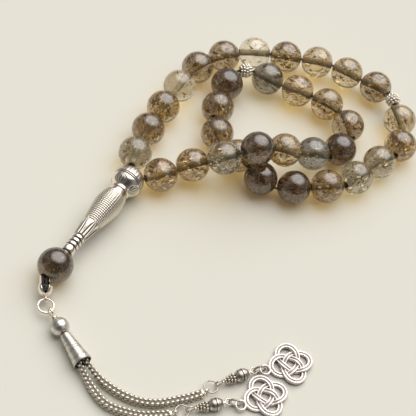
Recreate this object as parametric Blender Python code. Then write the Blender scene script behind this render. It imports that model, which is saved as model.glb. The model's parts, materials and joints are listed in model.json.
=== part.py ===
"""Misbaha prayer beads: 33 stone beads, two dividers, an imame and a chain tassel.

The strand lies on a table as one loop that crosses itself once. Sizes are in millimetres and
objects in metres, +Z up, with the origin under the middle of the whole object.
"""
import math

import bmesh
import bpy
from mathutils import Matrix, Vector

MM = 0.001

# Clearances
BEAD_GAP = 0.12
SEAT_GAP = 0.15
BORE_CLEARANCE = 0.2
LINK_PLAY = 0.12

# Strand
GROUPS = 3
BEADS_PER_GROUP = 11
BEAD_DIAMETER = 10.0
BEAD_SIDES = 10
BEAD_BANDS = 6
DIVIDER_DIAMETER = 4.8
DIVIDER_RELIEF = 0.35
BORE_RADIUS = 1.1
CORD_DIAMETER = 0.8
CORD_PAIR_GAP = 0.3
SLACK_FIRST = 1.3
SLACK_LAST = 0.4

# Plan of the strand from the imame head round and back, and its lift off the table
ROUTE = [
    (-0.2, 11.1, 0.0), (1.5, 21.0, 0.0), (4.0, 31.0, 0.0), (7.0, 40.5, 0.0),
    (11.0, 50.0, 0.0), (18.0, 57.0, 0.0), (27.0, 61.5, 0.0), (37.0, 63.0, 0.0),
    (47.0, 64.0, 0.0), (57.0, 62.5, 0.0), (66.5, 59.5, 0.0), (72.0, 55.5, 1.0),
    (75.5, 48.5, 0.0), (77.0, 38.5, 0.0), (71.5, 30.0, 0.0), (65.5, 22.0, 0.0),
    (57.5, 16.0, 0.0), (48.0, 12.5, 0.0), (38.0, 12.5, 0.0), (30.0, 18.5, 0.0),
    (22.0, 25.0, 0.0), (20.0, 34.5, 0.0), (20.5, 44.5, 0.0), (26.0, 51.5, 2.0),
    (33.0, 52.0, 0.0), (43.0, 50.0, 0.0), (52.5, 47.5, 0.0), (60.0, 41.0, 0.0),
    (59.0, 31.0, 0.0), (51.0, 25.0, 2.0), (42.5, 21.0, 5.3), (34.5, 16.0, 8.7),
    (25.5, 12.0, 6.0), (17.0, 11.0, 0.8), (8.8, 5.3, 0.0),
]

# Imame and tail bead
IMAME_HEADING = -110.3
HEAD_DIAMETER = 9.4
HEAD_SEAT = 4.0
COLLAR_LENGTH = 0.6
COLLAR_RADIUS = 3.1
NECK_LENGTH = 0.3
NECK_RADIUS = 2.65
SHOULDER_RADIUS = 3.0
SHOULDER_LENGTH = 5.6
BELLY_RADIUS = 4.05
TAPER_LENGTH = 13.6
FOOT_RADIUS = 1.9
RIDGE_COUNT = 12
RIDGE_DEPTH = 0.12
RIDGED_LENGTH = 10.0
PETAL_COUNT = 6
PETAL_RISE = 0.16
TURNED_RINGS = 3
TURNED_RING_LENGTH = 1.4
END_BEAD_LENGTH = 2.4
END_BEAD_RADIUS = 1.95
GROOVE_DEPTH = 0.3

# Knot cover and jump ring
COVER_HEADING = -72.0
COVER_SLOPE = -28.0
COVER_DIAMETER = 4.1
COVER_WALL = 0.35
COVER_TAPER = 1.15
COVER_OPENING = 2.2
COVER_RIM_HEIGHT = 0.5
HOOK_RADIUS = 0.9
HOOK_WIRE = 0.5
JUMP_RING_RADIUS = 2.15
JUMP_RING_WIRE = 0.7

# Tassel
TASSEL_HEADING = -46.0
TASSEL_EYE_RADIUS = 1.4
TASSEL_EYE_WIRE = 0.6
TASSEL_NECK = 1.0
TASSEL_BALL_DIAMETER = 5.2
TASSEL_PIN_DIAMETER = 0.9
SLEEVE_LENGTH = 9.6
SLEEVE_TOP_RADIUS = 1.5
SLEEVE_MOUTH_RADIUS = 2.65
SLEEVE_WALL = 0.35
SLEEVE_SIDES = 12

# Woven chains: plan from the sleeve's mouth
CHAIN_DIAMETER = 2.5
CHAIN_TUCK = 2.2
CHAIN_A_ROUTE = [(6.9, -3.7), (14.4, -6.2), (20.9, -5.9), (28.2, -2.5), (32.8, 0.4)]
CHAIN_B_ROUTE = [(4.4, -6.3), (9.4, -9.7), (16.9, -10.3), (22.7, -8.9), (25.8, -7.6)]
CHAIN_EYE_RADIUS = 1.0
CHAIN_EYE_WIRE = 0.5

# Pendants: headings of ring, connector, charm ring and charm
PENDANT_A_HEADINGS = (62.0, 37.0, 24.0, 31.0)
PENDANT_B_HEADINGS = (27.0, 27.0, 0.0, 37.0)
CHAIN_RING_RADIUS = 1.8
CHAIN_RING_WIRE = 0.6
CHAIN_RING_HEIGHT = 1.5
PIN_LENGTH = 10.6
PIN_DIAMETER = 0.6
PIN_EYE_WIRE = 0.5
PIN_EYE_RADIUS = 1.2
PIN_FAR_EYE_RADIUS = 0.9
CAP_LENGTH = 3.2
CAP_SMALL_RADIUS = 0.75
CAP_LARGE_RADIUS = 1.6
CAP_ROWS = 3
CONNECTOR_BEAD_LENGTH = 4.0
CONNECTOR_BEAD_RADIUS = 1.8
CONNECTOR_DISC_LENGTH = 0.5
CHARM_RING_RADIUS = 1.6
CHARM_RING_WIRE = 0.6

# Knot charm
CHARM_RADIUS = 6.3
CHARM_BAND = 1.4
CHARM_LOBE_RATIO = 1.9
CHARM_UNDER = 1.05
CHARM_OVER = 1.7
CHARM_GROOVE = 0.3
CHARM_STEPS = 48
EYELET_RADIUS = 1.35
EYELET_WIRE = 0.7
EYELET_HEIGHT = 1.15

BEAD_RADIUS = BEAD_DIAMETER / 2
HEAD_RADIUS = HEAD_DIAMETER / 2
DIVIDER_RADIUS = DIVIDER_DIAMETER / 2
COVER_RADIUS = COVER_DIAMETER / 2
KNOT_RADIUS = COVER_RADIUS - COVER_WALL - SEAT_GAP
BALL_RADIUS = TASSEL_BALL_DIAMETER / 2
CORD_RADIUS = CORD_DIAMETER / 2
PAIR_OFFSET = CORD_RADIUS + CORD_PAIR_GAP / 2
PAIR_BORE_RADIUS = PAIR_OFFSET + CORD_RADIUS + BORE_CLEARANCE
BODY_START = HEAD_SEAT + SEAT_GAP
TURNED_LENGTH = TURNED_RINGS * TURNED_RING_LENGTH + END_BEAD_LENGTH
BODY_LENGTH = COLLAR_LENGTH + NECK_LENGTH + SHOULDER_LENGTH + TAPER_LENGTH + TURNED_LENGTH
TAIL_HALF = math.sqrt(BEAD_RADIUS ** 2 - PAIR_BORE_RADIUS ** 2)

MATERIALS = {
    "stone_smoky": ((0.19, 0.13, 0.075), 0.08, 0.0),
    "stone_golden": ((0.33, 0.21, 0.09), 0.08, 0.0),
    "stone_pale": ((0.52, 0.42, 0.24), 0.06, 0.0),
    "cord_thread": ((0.05, 0.045, 0.04), 0.85, 0.0),
    "polished_silver": ((0.86, 0.83, 0.78), 0.16, 1.0),
    "satin_silver": ((0.72, 0.70, 0.67), 0.34, 1.0),
    "charm_silver": ((0.84, 0.79, 0.76), 0.28, 1.0),
}
PALE_BEADS = (1, 4, 7, 12, 14, 15)
GOLDEN_BEADS = (3, 8, 9, 13, 16, 17, 22, 24, 25, 28)


def clear_scene():
    """Start from an empty scene."""
    for old in list(bpy.data.objects):
        bpy.data.objects.remove(old, do_unlink=True)


def material(name):
    """Return the named material, made on first use."""
    found = bpy.data.materials.get(name)
    if found:
        return found
    colour, roughness, metallic = MATERIALS[name]
    made = bpy.data.materials.new(name)
    made.use_nodes = True
    shader = made.node_tree.nodes["Principled BSDF"]
    shader.inputs["Base Color"].default_value = (*colour, 1.0)
    shader.inputs["Roughness"].default_value = roughness
    shader.inputs["Metallic"].default_value = metallic
    made.diffuse_color = (*colour, 1.0)
    return made


def heading(degrees, slope=0.0):
    """Unit vector at a plan heading, counted from +X, and a slope."""
    turn, rise = math.radians(degrees), math.radians(slope)
    return Vector((math.cos(turn) * math.cos(rise), math.sin(turn) * math.cos(rise), math.sin(rise)))


def frame_along(axis, up=Vector((0, 0, 1))):
    """Rotation whose local Z runs along axis and whose local X stays close to up."""
    z = axis.normalized()
    x = up - up.dot(z) * z
    if x.length < 1e-6:
        x = Vector((1, 0, 0)) - z.x * z
    x.normalize()
    return Matrix((x, z.cross(x), z)).transposed()


def make(name, mesh, slot, centre, rotation=None, smooth=True):
    """Place a mesh built in millimetres as a named object."""
    bmesh.ops.recalc_face_normals(mesh, faces=mesh.faces)
    bmesh.ops.scale(mesh, vec=(MM, MM, MM), verts=mesh.verts)
    data = bpy.data.meshes.new(name)
    mesh.to_mesh(data)
    mesh.free()
    data.polygons.foreach_set("use_smooth", [smooth] * len(data.polygons))
    data.materials.append(material(slot))
    made = bpy.data.objects.new(name, data)
    bpy.context.scene.collection.objects.link(made)
    turn = rotation.to_4x4() if rotation else Matrix.Identity(4)
    made.matrix_world = Matrix.Translation(Vector(centre) * MM) @ turn
    return made


def combine(target, tool, operation, self_cross=False):
    """Apply one exact Boolean to an object's mesh and drop the tool."""
    step = target.modifiers.new(operation, "BOOLEAN")
    step.operation = operation
    step.solver = "EXACT"
    step.use_self = self_cross
    step.object = tool
    bpy.context.view_layer.update()
    graph = bpy.context.evaluated_depsgraph_get()
    data = bpy.data.meshes.new_from_object(target.evaluated_get(graph))
    target.modifiers.clear()
    target.data = data
    bpy.data.objects.remove(tool, do_unlink=True)
    return target


def lathe(profile, sides, swell=None):
    """Turn a closed (radius, height) outline round Z; swell may change a radius by angle."""
    mesh = bmesh.new()
    rings = []
    for side in range(sides):
        angle = 2 * math.pi * side / sides
        ring = []
        for index, (radius, height) in enumerate(profile):
            reach = radius + (swell(index, side) if swell else 0.0)
            ring.append(mesh.verts.new((reach * math.cos(angle), reach * math.sin(angle), height)))
        rings.append(ring)
    for side in range(sides):
        here, there = rings[side], rings[(side + 1) % sides]
        for index in range(len(profile)):
            after = (index + 1) % len(profile)
            mesh.faces.new((here[index], there[index], there[after], here[after]))
    return mesh


def torus(radius, wire, turns=16, sides=6):
    """Ring of round wire about Z."""
    outline = []
    for side in range(sides):
        angle = 2 * math.pi * (side + 0.5) / sides
        outline.append((radius + wire / 2 * math.cos(angle), wire / 2 * math.sin(angle)))
    return lathe(outline, turns)


def rod(radius, start, end, sides=10):
    """Solid round rod along Z."""
    mesh = bmesh.new()
    bmesh.ops.create_cone(mesh, cap_ends=True, segments=sides, radius1=radius, radius2=radius,
                          depth=end - start, matrix=Matrix.Translation((0, 0, (start + end) / 2)))
    return mesh


def ball_profile(radius, bore, bands):
    """Outline of a drilled ball: outer arc from mouth to mouth, closed along the bore."""
    mouth = math.asin(bore / radius)
    outline = []
    for band in range(bands + 1):
        angle = mouth + (math.pi - 2 * mouth) * band / bands
        outline.append((radius * math.sin(angle), -radius * math.cos(angle)))
    return outline


def smooth_path(points, steps):
    """Catmull-Rom curve through the points, end points included."""
    points = [Vector(point) for point in points]
    points = [2 * points[0] - points[1]] + points + [2 * points[-1] - points[-2]]
    path = []
    for a, b, c, d in zip(points, points[1:], points[2:], points[3:]):
        for step in range(steps):
            t = step / steps
            path.append(0.5 * (2 * b + (c - a) * t + (2 * a - 5 * b + 4 * c - d) * t * t
                               + (3 * b - a - 3 * c + d) * t ** 3))
    path.append(points[-2])
    return path


def strand_kinds():
    """Names and radii of beads and dividers, in stringing order."""
    kinds = []
    for group in range(GROUPS):
        for place in range(BEADS_PER_GROUP):
            kinds.append((f"bead_{group * BEADS_PER_GROUP + place + 1:02d}", BEAD_RADIUS))
        if group < GROUPS - 1:
            kinds.append((f"divider_{group + 1}", DIVIDER_RADIUS))
    return kinds


def rest_on(point, radius, laid):
    """Lift a point until its bead clears the beads laid well before it."""
    height = max(point.z, BEAD_RADIUS)
    for centre, other in laid[:-3]:
        reach = radius + other + BEAD_GAP
        apart = math.hypot(point.x - centre.x, point.y - centre.y)
        if apart < reach:
            height = max(height, centre.z + math.sqrt(reach ** 2 - apart ** 2))
    return Vector((point.x, point.y, height))


def thread_strand(scale, kinds, head):
    """Step along the route, each bead against the last; None where the route is too short."""
    inner = [head + Vector((x * scale, y * scale, lift * scale)) for x, y, lift in ROUTE]
    path = smooth_path([head] + inner + [head], 24)
    laid, last, reach, spot = [], head, HEAD_RADIUS + SLACK_FIRST, 0
    for _, radius in kinds:
        step = reach + radius
        while spot < len(path) and (rest_on(path[spot], radius, laid) - last).length < step:
            spot += 1
        if spot == len(path):
            return None
        low, high = 0.0, 1.0
        for _ in range(18):
            middle = (low + high) / 2
            trial = rest_on(path[spot - 1].lerp(path[spot], middle), radius, laid)
            low, high = (middle, high) if (trial - last).length < step else (low, middle)
        last = rest_on(path[spot - 1].lerp(path[spot], high), radius, laid)
        laid.append((last, radius))
        reach = radius + BEAD_GAP
    return [centre for centre, _ in laid]


def lay_strand(head):
    """Scale the route until the threaded beads close at the imame head."""
    kinds = strand_kinds()
    wanted = HEAD_RADIUS + SLACK_LAST + BEAD_RADIUS
    low, high = 0.6, 1.6
    for _ in range(26):
        scale = (low + high) / 2
        centres = thread_strand(scale, kinds, head)
        if centres is None or (centres[-1] - head).length < wanted:
            low = scale
        else:
            high = scale
    centres = thread_strand(high, kinds, head)
    halves = [math.sqrt(radius ** 2 - BORE_RADIUS ** 2) for _, radius in kinds]
    axes = line_up_bores(centres, halves, head)
    return [(kind[0], *place) for kind, place in zip(kinds, zip(centres, axes, halves))]


def line_up_bores(centres, halves, head):
    """Turn each bore to the mouths before and after it, as the pulled cord does."""
    count = len(centres)
    axes = []
    for index in range(count):
        before = centres[index - 1] if index else head
        after = centres[index + 1] if index + 1 < count else head
        axes.append((after - before).normalized())
    for _ in range(24):
        mouths_in = [c - a * h for c, a, h in zip(centres, axes, halves)] + [head]
        mouths_out = [head] + [c + a * h for c, a, h in zip(centres, axes, halves)]
        pulls = [(mouths_in[i + 1] - mouths_out[i]).normalized() for i in range(count)]
        axes = [(axis + pull).normalized() for axis, pull in zip(axes, pulls)]
    return axes


def make_beads(places):
    """Stone beads and dividers, each on its stretch of cord."""
    outline = ball_profile(BEAD_RADIUS, BORE_RADIUS, BEAD_BANDS)
    bands = 6
    grains = ball_profile(DIVIDER_RADIUS - DIVIDER_RELIEF, BORE_RADIUS, bands)

    def grain(index, side):
        raised = 0 < index < bands and (index + side) % 2 == 0
        return DIVIDER_RELIEF if raised else 0.0

    for name, centre, axis, _ in places:
        if name.startswith("divider"):
            mesh, slot = lathe(grains, 14, grain), "satin_silver"
        else:
            bead = int(name[-2:])
            slot = "stone_smoky"
            if bead in PALE_BEADS:
                slot = "stone_pale"
            elif bead in GOLDEN_BEADS:
                slot = "stone_golden"
            mesh = lathe(outline, BEAD_SIDES)
        make(name, mesh, slot, centre, frame_along(axis))


def make_cord(places, head, axis, side, tail_exit, cover, cover_axis):
    """One cord from the knot up the imame, round the strand and back down to the knot."""
    def run_in(offset):
        across = frame_along(cover_axis) @ Vector((0, offset, 0))
        inside = head + axis * CORD_DIAMETER + side * offset
        return [cover + cover_axis * KNOT_RADIUS / 2 + across,
                tail_exit + side * offset, inside]

    mouths_in = [centre - along * half for _, centre, along, half in places]
    mouths_out = [centre + along * half for _, centre, along, half in places]
    points = run_in(PAIR_OFFSET) + [mouths_in[0]]
    for before, after in zip(mouths_out, mouths_in[1:] + mouths_out[-1:]):
        points.append((before + after) / 2)
    points += reversed(run_in(-PAIR_OFFSET))
    curve = bpy.data.curves.new("cord", "CURVE")
    curve.dimensions = "3D"
    curve.bevel_depth = CORD_RADIUS * MM
    curve.bevel_resolution = 2
    curve.use_fill_caps = True
    line = curve.splines.new("POLY")
    line.points.add(len(points) - 1)
    for knot, point in zip(line.points, points):
        knot.co = (*(point * MM), 1.0)
    curve.materials.append(material("cord_thread"))
    made = bpy.data.objects.new("cord", curve)
    bpy.context.scene.collection.objects.link(made)
    length = sum((b - a).length for a, b in zip(points, points[1:]))
    print(f"cord length {length:.1f} mm, {len(points)} points")


def make_imame_head(head, axis, places):
    """Ball with a flat seat for the body and three bores for the cord."""
    outline = []
    bands = 9
    seat = math.acos(HEAD_SEAT / HEAD_RADIUS)
    for band in range(bands + 1):
        angle = seat + (math.pi - seat) * band / bands
        outline.append((max(HEAD_RADIUS * math.sin(angle), 0.0), HEAD_RADIUS * math.cos(angle)))
    mesh = bmesh.new()
    for radius, height in outline[:-1]:
        ring = bmesh.ops.create_circle(mesh, cap_ends=False, radius=radius, segments=16)
        bmesh.ops.translate(mesh, vec=(0, 0, height), verts=ring["verts"])
    bmesh.ops.convex_hull(mesh, input=mesh.verts)
    bmesh.ops.dissolve_limit(mesh, angle_limit=0.01, verts=mesh.verts, edges=mesh.edges)
    made = make("imame_head", mesh, "polished_silver", head, frame_along(axis))
    chamber = head + axis * CORD_DIAMETER
    way_down = rod(PAIR_BORE_RADIUS, 0, HEAD_DIAMETER, 12)
    combine(made, make("bore", way_down, "polished_silver", chamber, frame_along(axis)), "DIFFERENCE")
    for _, centre, along, half in (places[0], places[-1]):
        near = min((centre + along * half, centre - along * half), key=lambda p: (p - head).length)
        run = near - chamber
        reach = PAIR_OFFSET + CORD_RADIUS + BORE_CLEARANCE
        mesh = rod(reach, -reach, run.length, 12)
        combine(made, make("bore", mesh, "polished_silver", chamber, frame_along(run)), "DIFFERENCE")


def body_outline():
    """Imame body from collar to end bead as (radius, height), and its petal stretch."""
    at = 0.0
    outline = [(COLLAR_RADIUS, at), (COLLAR_RADIUS, at + COLLAR_LENGTH)]
    at += COLLAR_LENGTH
    outline += [(NECK_RADIUS, at), (NECK_RADIUS, at + NECK_LENGTH)]
    at += NECK_LENGTH
    belly = at + SHOULDER_LENGTH

    def radius_at(height):
        if height < belly:
            share = (height - at) / SHOULDER_LENGTH
            return SHOULDER_RADIUS + (BELLY_RADIUS - SHOULDER_RADIUS) * math.sin(share * math.pi / 2)
        share = (height - belly) / TAPER_LENGTH
        fall = (share + (1 - math.cos(math.pi * share)) / 2) / 2
        return BELLY_RADIUS + (FOOT_RADIUS - BELLY_RADIUS) * fall

    for share in (0.0, 0.25, 0.5):
        outline.append((radius_at(at + share * SHOULDER_LENGTH), at + share * SHOULDER_LENGTH))
    ridges = at + 0.7 * SHOULDER_LENGTH
    pitch = RIDGED_LENGTH / RIDGE_COUNT
    for ridge in range(RIDGE_COUNT):
        crest, valley = ridges + ridge * pitch, ridges + (ridge + 0.5) * pitch
        outline += [(radius_at(crest), crest), (radius_at(valley) - RIDGE_DEPTH, valley)]
    petals = len(outline)
    start = ridges + RIDGED_LENGTH
    foot = belly + TAPER_LENGTH
    for share in (0.0, 0.35, 0.7, 1.0):
        height = start + share * (foot - start)
        outline.append((radius_at(height), height))
    petal_end = len(outline)
    for ring in range(TURNED_RINGS):
        low = foot + ring * TURNED_RING_LENGTH
        outline += [(FOOT_RADIUS - GROOVE_DEPTH, low + 0.15 * TURNED_RING_LENGTH),
                    (FOOT_RADIUS, low + 0.4 * TURNED_RING_LENGTH),
                    (FOOT_RADIUS, low + 0.75 * TURNED_RING_LENGTH)]
    low = foot + TURNED_RINGS * TURNED_RING_LENGTH
    outline += [(FOOT_RADIUS - GROOVE_DEPTH, low),
                (END_BEAD_RADIUS, low + 0.3 * END_BEAD_LENGTH),
                (END_BEAD_RADIUS, low + 0.7 * END_BEAD_LENGTH),
                (END_BEAD_RADIUS - GROOVE_DEPTH, low + END_BEAD_LENGTH)]
    return outline, petals, petal_end


def make_imame_body(head, axis):
    """Turned vase with ridges, raised petals, rings and an end bead."""
    outline, petals, petal_end = body_outline()
    count = len(outline)
    outline = outline + [(PAIR_BORE_RADIUS, outline[-1][1]), (PAIR_BORE_RADIUS, 0.0)]
    sides = 3 * PETAL_COUNT

    def petal(index, side):
        raised = petals <= index < petal_end and side % 3 == 0
        return PETAL_RISE if raised and index < count else 0.0

    mesh = lathe(outline, sides, petal)
    make("imame_body", mesh, "polished_silver", head + axis * BODY_START, frame_along(axis))


def make_knot_cover(cover, axis):
    """Tapered cup round the knot, open at its top, with a hook at its closed end."""
    inner = COVER_RADIUS - COVER_WALL
    mouth = PAIR_BORE_RADIUS
    outline = []
    for radius, turn in ((COVER_RADIUS, 1), (inner, -1)):
        start, bands = math.asin(mouth / radius), 5
        arc = []
        for band in range(bands + 1):
            angle = start + (math.pi - start) * 0.97 * band / bands
            height = -radius * math.cos(angle)
            arc.append((radius * math.sin(angle), height * (COVER_TAPER if height > 0 else 1.0)))
        outline += arc[::turn]
    made = make("knot_cover", lathe(outline, 12), "polished_silver", cover, frame_along(axis))
    opening = bmesh.new()
    bmesh.ops.create_cube(opening, size=1.0)
    bmesh.ops.scale(opening, vec=(COVER_DIAMETER, COVER_OPENING, COVER_DIAMETER), verts=opening.verts)
    turn = frame_along(axis)
    above = turn @ Vector((COVER_RADIUS + COVER_RIM_HEIGHT, 0, 0))
    opening = make("opening", opening, "polished_silver", cover + above - axis * COVER_RADIUS / 2, turn,
                   False)
    combine(made, opening, "DIFFERENCE")
    end = rod(HOOK_WIRE, inner - COVER_WALL, COVER_RADIUS + HOOK_WIRE / 2)
    combine(made, make("end", end, "polished_silver", cover, frame_along(axis)), "UNION")
    hook = torus(HOOK_RADIUS, HOOK_WIRE, 12, 6)
    sideways = frame_along(Vector((0, 0, 1)).cross(axis))
    hook = make("hook", hook, "polished_silver", hook_centre(cover, axis), sideways)
    combine(made, hook, "UNION")
    knot_outline = ball_profile(KNOT_RADIUS, PAIR_BORE_RADIUS, 4)
    make("cord_knot", lathe(knot_outline, 10), "cord_thread", cover, frame_along(axis))


def hook_centre(cover, axis):
    """Middle of the knot cover's hook."""
    return cover + axis * (COVER_RADIUS + HOOK_RADIUS)


def make_ring(name, slot, centre, radius, wire, rotation=None, turns=14):
    """Ring of round wire."""
    make(name, torus(radius, wire, turns), slot, centre, rotation)


def make_tassel(eye, along):
    """Eye pin through the ball and the sleeve; returns the middle of the sleeve's mouth."""
    upright = frame_along(Vector((0, 0, 1)).cross(along))
    pin = make("tassel_eye", torus(TASSEL_EYE_RADIUS, TASSEL_EYE_WIRE, 12, 6), "polished_silver",
               eye, upright)
    ball = eye + along * (TASSEL_EYE_RADIUS + TASSEL_NECK + BALL_RADIUS)
    sleeve = ball + along * (BALL_RADIUS + SEAT_GAP)
    stop = (sleeve - eye).length + SLEEVE_WALL + SEAT_GAP
    pin_radius = TASSEL_PIN_DIAMETER / 2
    shaft = rod(pin_radius, TASSEL_EYE_RADIUS, stop + 0.3)
    combine(pin, make("shaft", shaft, "polished_silver", eye, frame_along(along)), "UNION")
    washer = rod(2 * pin_radius, TASSEL_EYE_RADIUS + TASSEL_EYE_WIRE / 2,
                 TASSEL_EYE_RADIUS + TASSEL_NECK - SEAT_GAP)
    combine(pin, make("washer", washer, "polished_silver", eye, frame_along(along)), "UNION")
    head = rod(2 * pin_radius, stop, stop + 0.6)
    combine(pin, make("head", head, "polished_silver", eye, frame_along(along)), "UNION")
    bore = pin_radius + LINK_PLAY
    make("tassel_ball", lathe(ball_profile(BALL_RADIUS, bore, 8), 12), "satin_silver", ball,
         frame_along(along))
    cone = []
    for share in (0.0, 0.12, 0.5, 0.9, 1.0):
        flare = SLEEVE_TOP_RADIUS + (SLEEVE_MOUTH_RADIUS - SLEEVE_TOP_RADIUS) * share
        cone.append((flare, share * SLEEVE_LENGTH))
    inside = [(radius - SLEEVE_WALL, max(height, SLEEVE_WALL)) for radius, height in cone]
    outline = [(bore, 0.0)] + cone + inside[::-1] + [(bore, SLEEVE_WALL)]
    make("tassel_sleeve", lathe(outline, SLEEVE_SIDES), "satin_silver", sleeve, frame_along(along))
    return sleeve + along * SLEEVE_LENGTH


def gathered_radius():
    """Radius of each chain where the two lie side by side in the sleeve's bore."""
    flare = (SLEEVE_MOUTH_RADIUS - SLEEVE_TOP_RADIUS) * CHAIN_TUCK / SLEEVE_LENGTH
    wall = (SLEEVE_MOUTH_RADIUS - flare - SLEEVE_WALL) * math.cos(math.pi / SLEEVE_SIDES)
    return min(CHAIN_DIAMETER / 2, wall / 2 - SEAT_GAP)


def make_chain(name, route, mouth, along, offset):
    """Woven chain as a plain tube; returns the solid, its end and its heading there."""
    across = Vector((-along.y, along.x, 0)) * offset
    start = mouth - along * CHAIN_TUCK + across
    table = CHAIN_DIAMETER / 2
    points = [start, mouth + across]
    points += [Vector((mouth.x + x, mouth.y + y, table)) for x, y in route]
    steps = 40
    path = smooth_path(points, steps)
    for point in path:
        point.z = max(point.z, table)
    beats = [path[0], path[steps]]
    gathered = 3
    for point in path[steps:-1]:
        stride = CHAIN_DIAMETER if len(beats) < gathered else 2 * CHAIN_DIAMETER
        if (point - beats[-1]).length >= stride:
            beats.append(point)
    beats.append(path[-1])
    curve = bpy.data.curves.new(name, "CURVE")
    curve.dimensions = "3D"
    curve.bevel_depth = table * MM
    curve.bevel_resolution = 2
    curve.use_fill_caps = True
    line = curve.splines.new("POLY")
    line.points.add(len(beats) - 1)
    for index, (knot, point) in enumerate(zip(line.points, beats)):
        knot.co = (*(point * MM), 1.0)
        knot.radius = gathered_radius() / table if index < gathered else 1.0
    curve.materials.append(material("satin_silver"))
    made = bpy.data.objects.new(name, curve)
    bpy.context.scene.collection.objects.link(made)
    length = sum((b - a).length for a, b in zip(beats, beats[1:]))
    print(f"{name} length {length:.1f} mm, {len(beats)} points")
    return made, beats[-1], (beats[-1] - beats[-2]).normalized()


def add_chain_eye(chain, end, way):
    """Fuse an upright eye to the chain's end; returns the eye's middle."""
    data = bpy.data.meshes.new_from_object(chain)
    name = chain.name
    bpy.data.objects.remove(chain, do_unlink=True)
    solid = bpy.data.objects.new(name, data)
    bpy.context.scene.collection.objects.link(solid)
    middle = end + way * (CHAIN_EYE_RADIUS - CHAIN_EYE_WIRE / 2)
    eye = torus(CHAIN_EYE_RADIUS, CHAIN_EYE_WIRE, 12, 6)
    eye = make("eye", eye, "satin_silver", middle, frame_along(Vector((0, 0, 1)).cross(way)))
    combine(solid, eye, "UNION")
    return middle


def make_connector(letter, eye, along):
    """Pin with two eyes, a granulated cap and a bead; returns the far eye's middle."""
    upright = frame_along(Vector((0, 0, 1)).cross(along))
    pin = make(f"connector_pin_{letter}", torus(PIN_EYE_RADIUS, PIN_EYE_WIRE, 12, 6),
               "polished_silver", eye, upright)
    far = eye + along * PIN_LENGTH
    shaft = rod(PIN_DIAMETER / 2, PIN_EYE_RADIUS, PIN_LENGTH - PIN_FAR_EYE_RADIUS, 8)
    combine(pin, make("shaft", shaft, "polished_silver", eye, frame_along(along)), "UNION")
    far_eye = make("far", torus(PIN_FAR_EYE_RADIUS, PIN_EYE_WIRE, 10, 6), "polished_silver", far)
    combine(pin, far_eye, "UNION")
    bore = PIN_DIAMETER / 2 + LINK_PLAY
    at = PIN_EYE_RADIUS + PIN_EYE_WIRE / 2 + SEAT_GAP
    rows = []
    for row in range(CAP_ROWS):
        low = CAP_LENGTH * row / CAP_ROWS
        high = CAP_LENGTH * (row + 1) / CAP_ROWS
        crest = CAP_SMALL_RADIUS + (CAP_LARGE_RADIUS - CAP_SMALL_RADIUS) * (row + 1) / CAP_ROWS
        rows += [(0.75 * crest, low), (crest, 0.6 * low + 0.4 * high), (crest, 0.3 * low + 0.7 * high)]
    rows += [(0.75 * CAP_LARGE_RADIUS, CAP_LENGTH), (bore, CAP_LENGTH), (bore, 0.0)]
    make(f"connector_cap_{letter}", lathe(rows, 10), "satin_silver", eye + along * at,
         frame_along(along))
    at += CAP_LENGTH + SEAT_GAP
    top, length = CONNECTOR_BEAD_RADIUS, CONNECTOR_BEAD_LENGTH
    line = CONNECTOR_DISC_LENGTH
    waist = 0.58 * length
    bead = [(bore, 0.0), (0.55 * top, 0.0), (0.88 * top, 0.15 * length), (0.95 * top, 0.35 * length),
            (0.85 * top, waist), (top, waist), (top, waist + line), (0.85 * top, waist + line),
            (0.75 * top, 0.88 * length), (0.45 * top, length), (bore, length)]
    make(f"connector_bead_{letter}", lathe(bead, 12), "polished_silver", eye + along * at,
         frame_along(along))
    return far


def weave(turn):
    """Height of the knot's strand from -1 (under) to +1 (over) along its closed curve."""
    outer = math.radians(24.8)
    quarter = math.pi / 2
    local = (turn + outer) % quarter - outer
    if local <= outer:
        return math.sin(quarter * local / outer)
    return math.cos(3 * math.pi * (local - outer) / (quarter - 2 * outer))


def make_charm(name, centre, along):
    """Cast knot: one grooved band with four lobes, over and under itself, and an eyelet."""
    small = (CHARM_RADIUS - CHARM_BAND / 2) / (1 + CHARM_LOBE_RATIO)
    large = small * CHARM_LOBE_RATIO
    half = CHARM_BAND / 2
    mesh = bmesh.new()
    rings = []
    for step in range(CHARM_STEPS):
        turn = 2 * math.pi * step / CHARM_STEPS
        spot = Vector((small * math.cos(turn) + large * math.cos(3 * turn),
                       small * math.sin(turn) - large * math.sin(3 * turn), 0))
        way = Vector((-small * math.sin(turn) - 3 * large * math.sin(3 * turn),
                      small * math.cos(turn) - 3 * large * math.cos(3 * turn), 0)).normalized()
        out = Vector((way.y, -way.x, 0))
        top = (CHARM_OVER + CHARM_UNDER) / 2 + (CHARM_OVER - CHARM_UNDER) / 2 * weave(turn)
        edge = top - CHARM_GROOVE
        section = [(-half, 0), (half, 0), (half, edge), (0.5 * half, top), (0, edge),
                   (-0.5 * half, top), (-half, edge)]
        rings.append([mesh.verts.new(spot + out * x + Vector((0, 0, z))) for x, z in section])
    for step in range(CHARM_STEPS):
        here, there = rings[step], rings[(step + 1) % CHARM_STEPS]
        for index in range(len(here)):
            after = (index + 1) % len(here)
            mesh.faces.new((here[index], here[after], there[after], there[index]))
    made = make(name, mesh, "charm_silver", centre, turn_to(along), False)
    eyelet = make("eyelet", torus(EYELET_RADIUS, EYELET_WIRE, 12, 6), "charm_silver",
                  eyelet_centre(centre, along))
    combine(made, eyelet, "UNION", True)


def turn_to(along):
    """Rotation about Z whose local X runs along a heading."""
    return Matrix.Rotation(math.atan2(along.y, along.x), 3, "Z")


def eyelet_reach():
    """Distance from a charm's middle to its eyelet's middle."""
    return CHARM_RADIUS + EYELET_RADIUS - EYELET_WIRE / 4


def eyelet_centre(centre, along):
    """Middle of a charm's eyelet."""
    spot = centre - along * eyelet_reach()
    return Vector((spot.x, spot.y, EYELET_HEIGHT))


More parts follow.
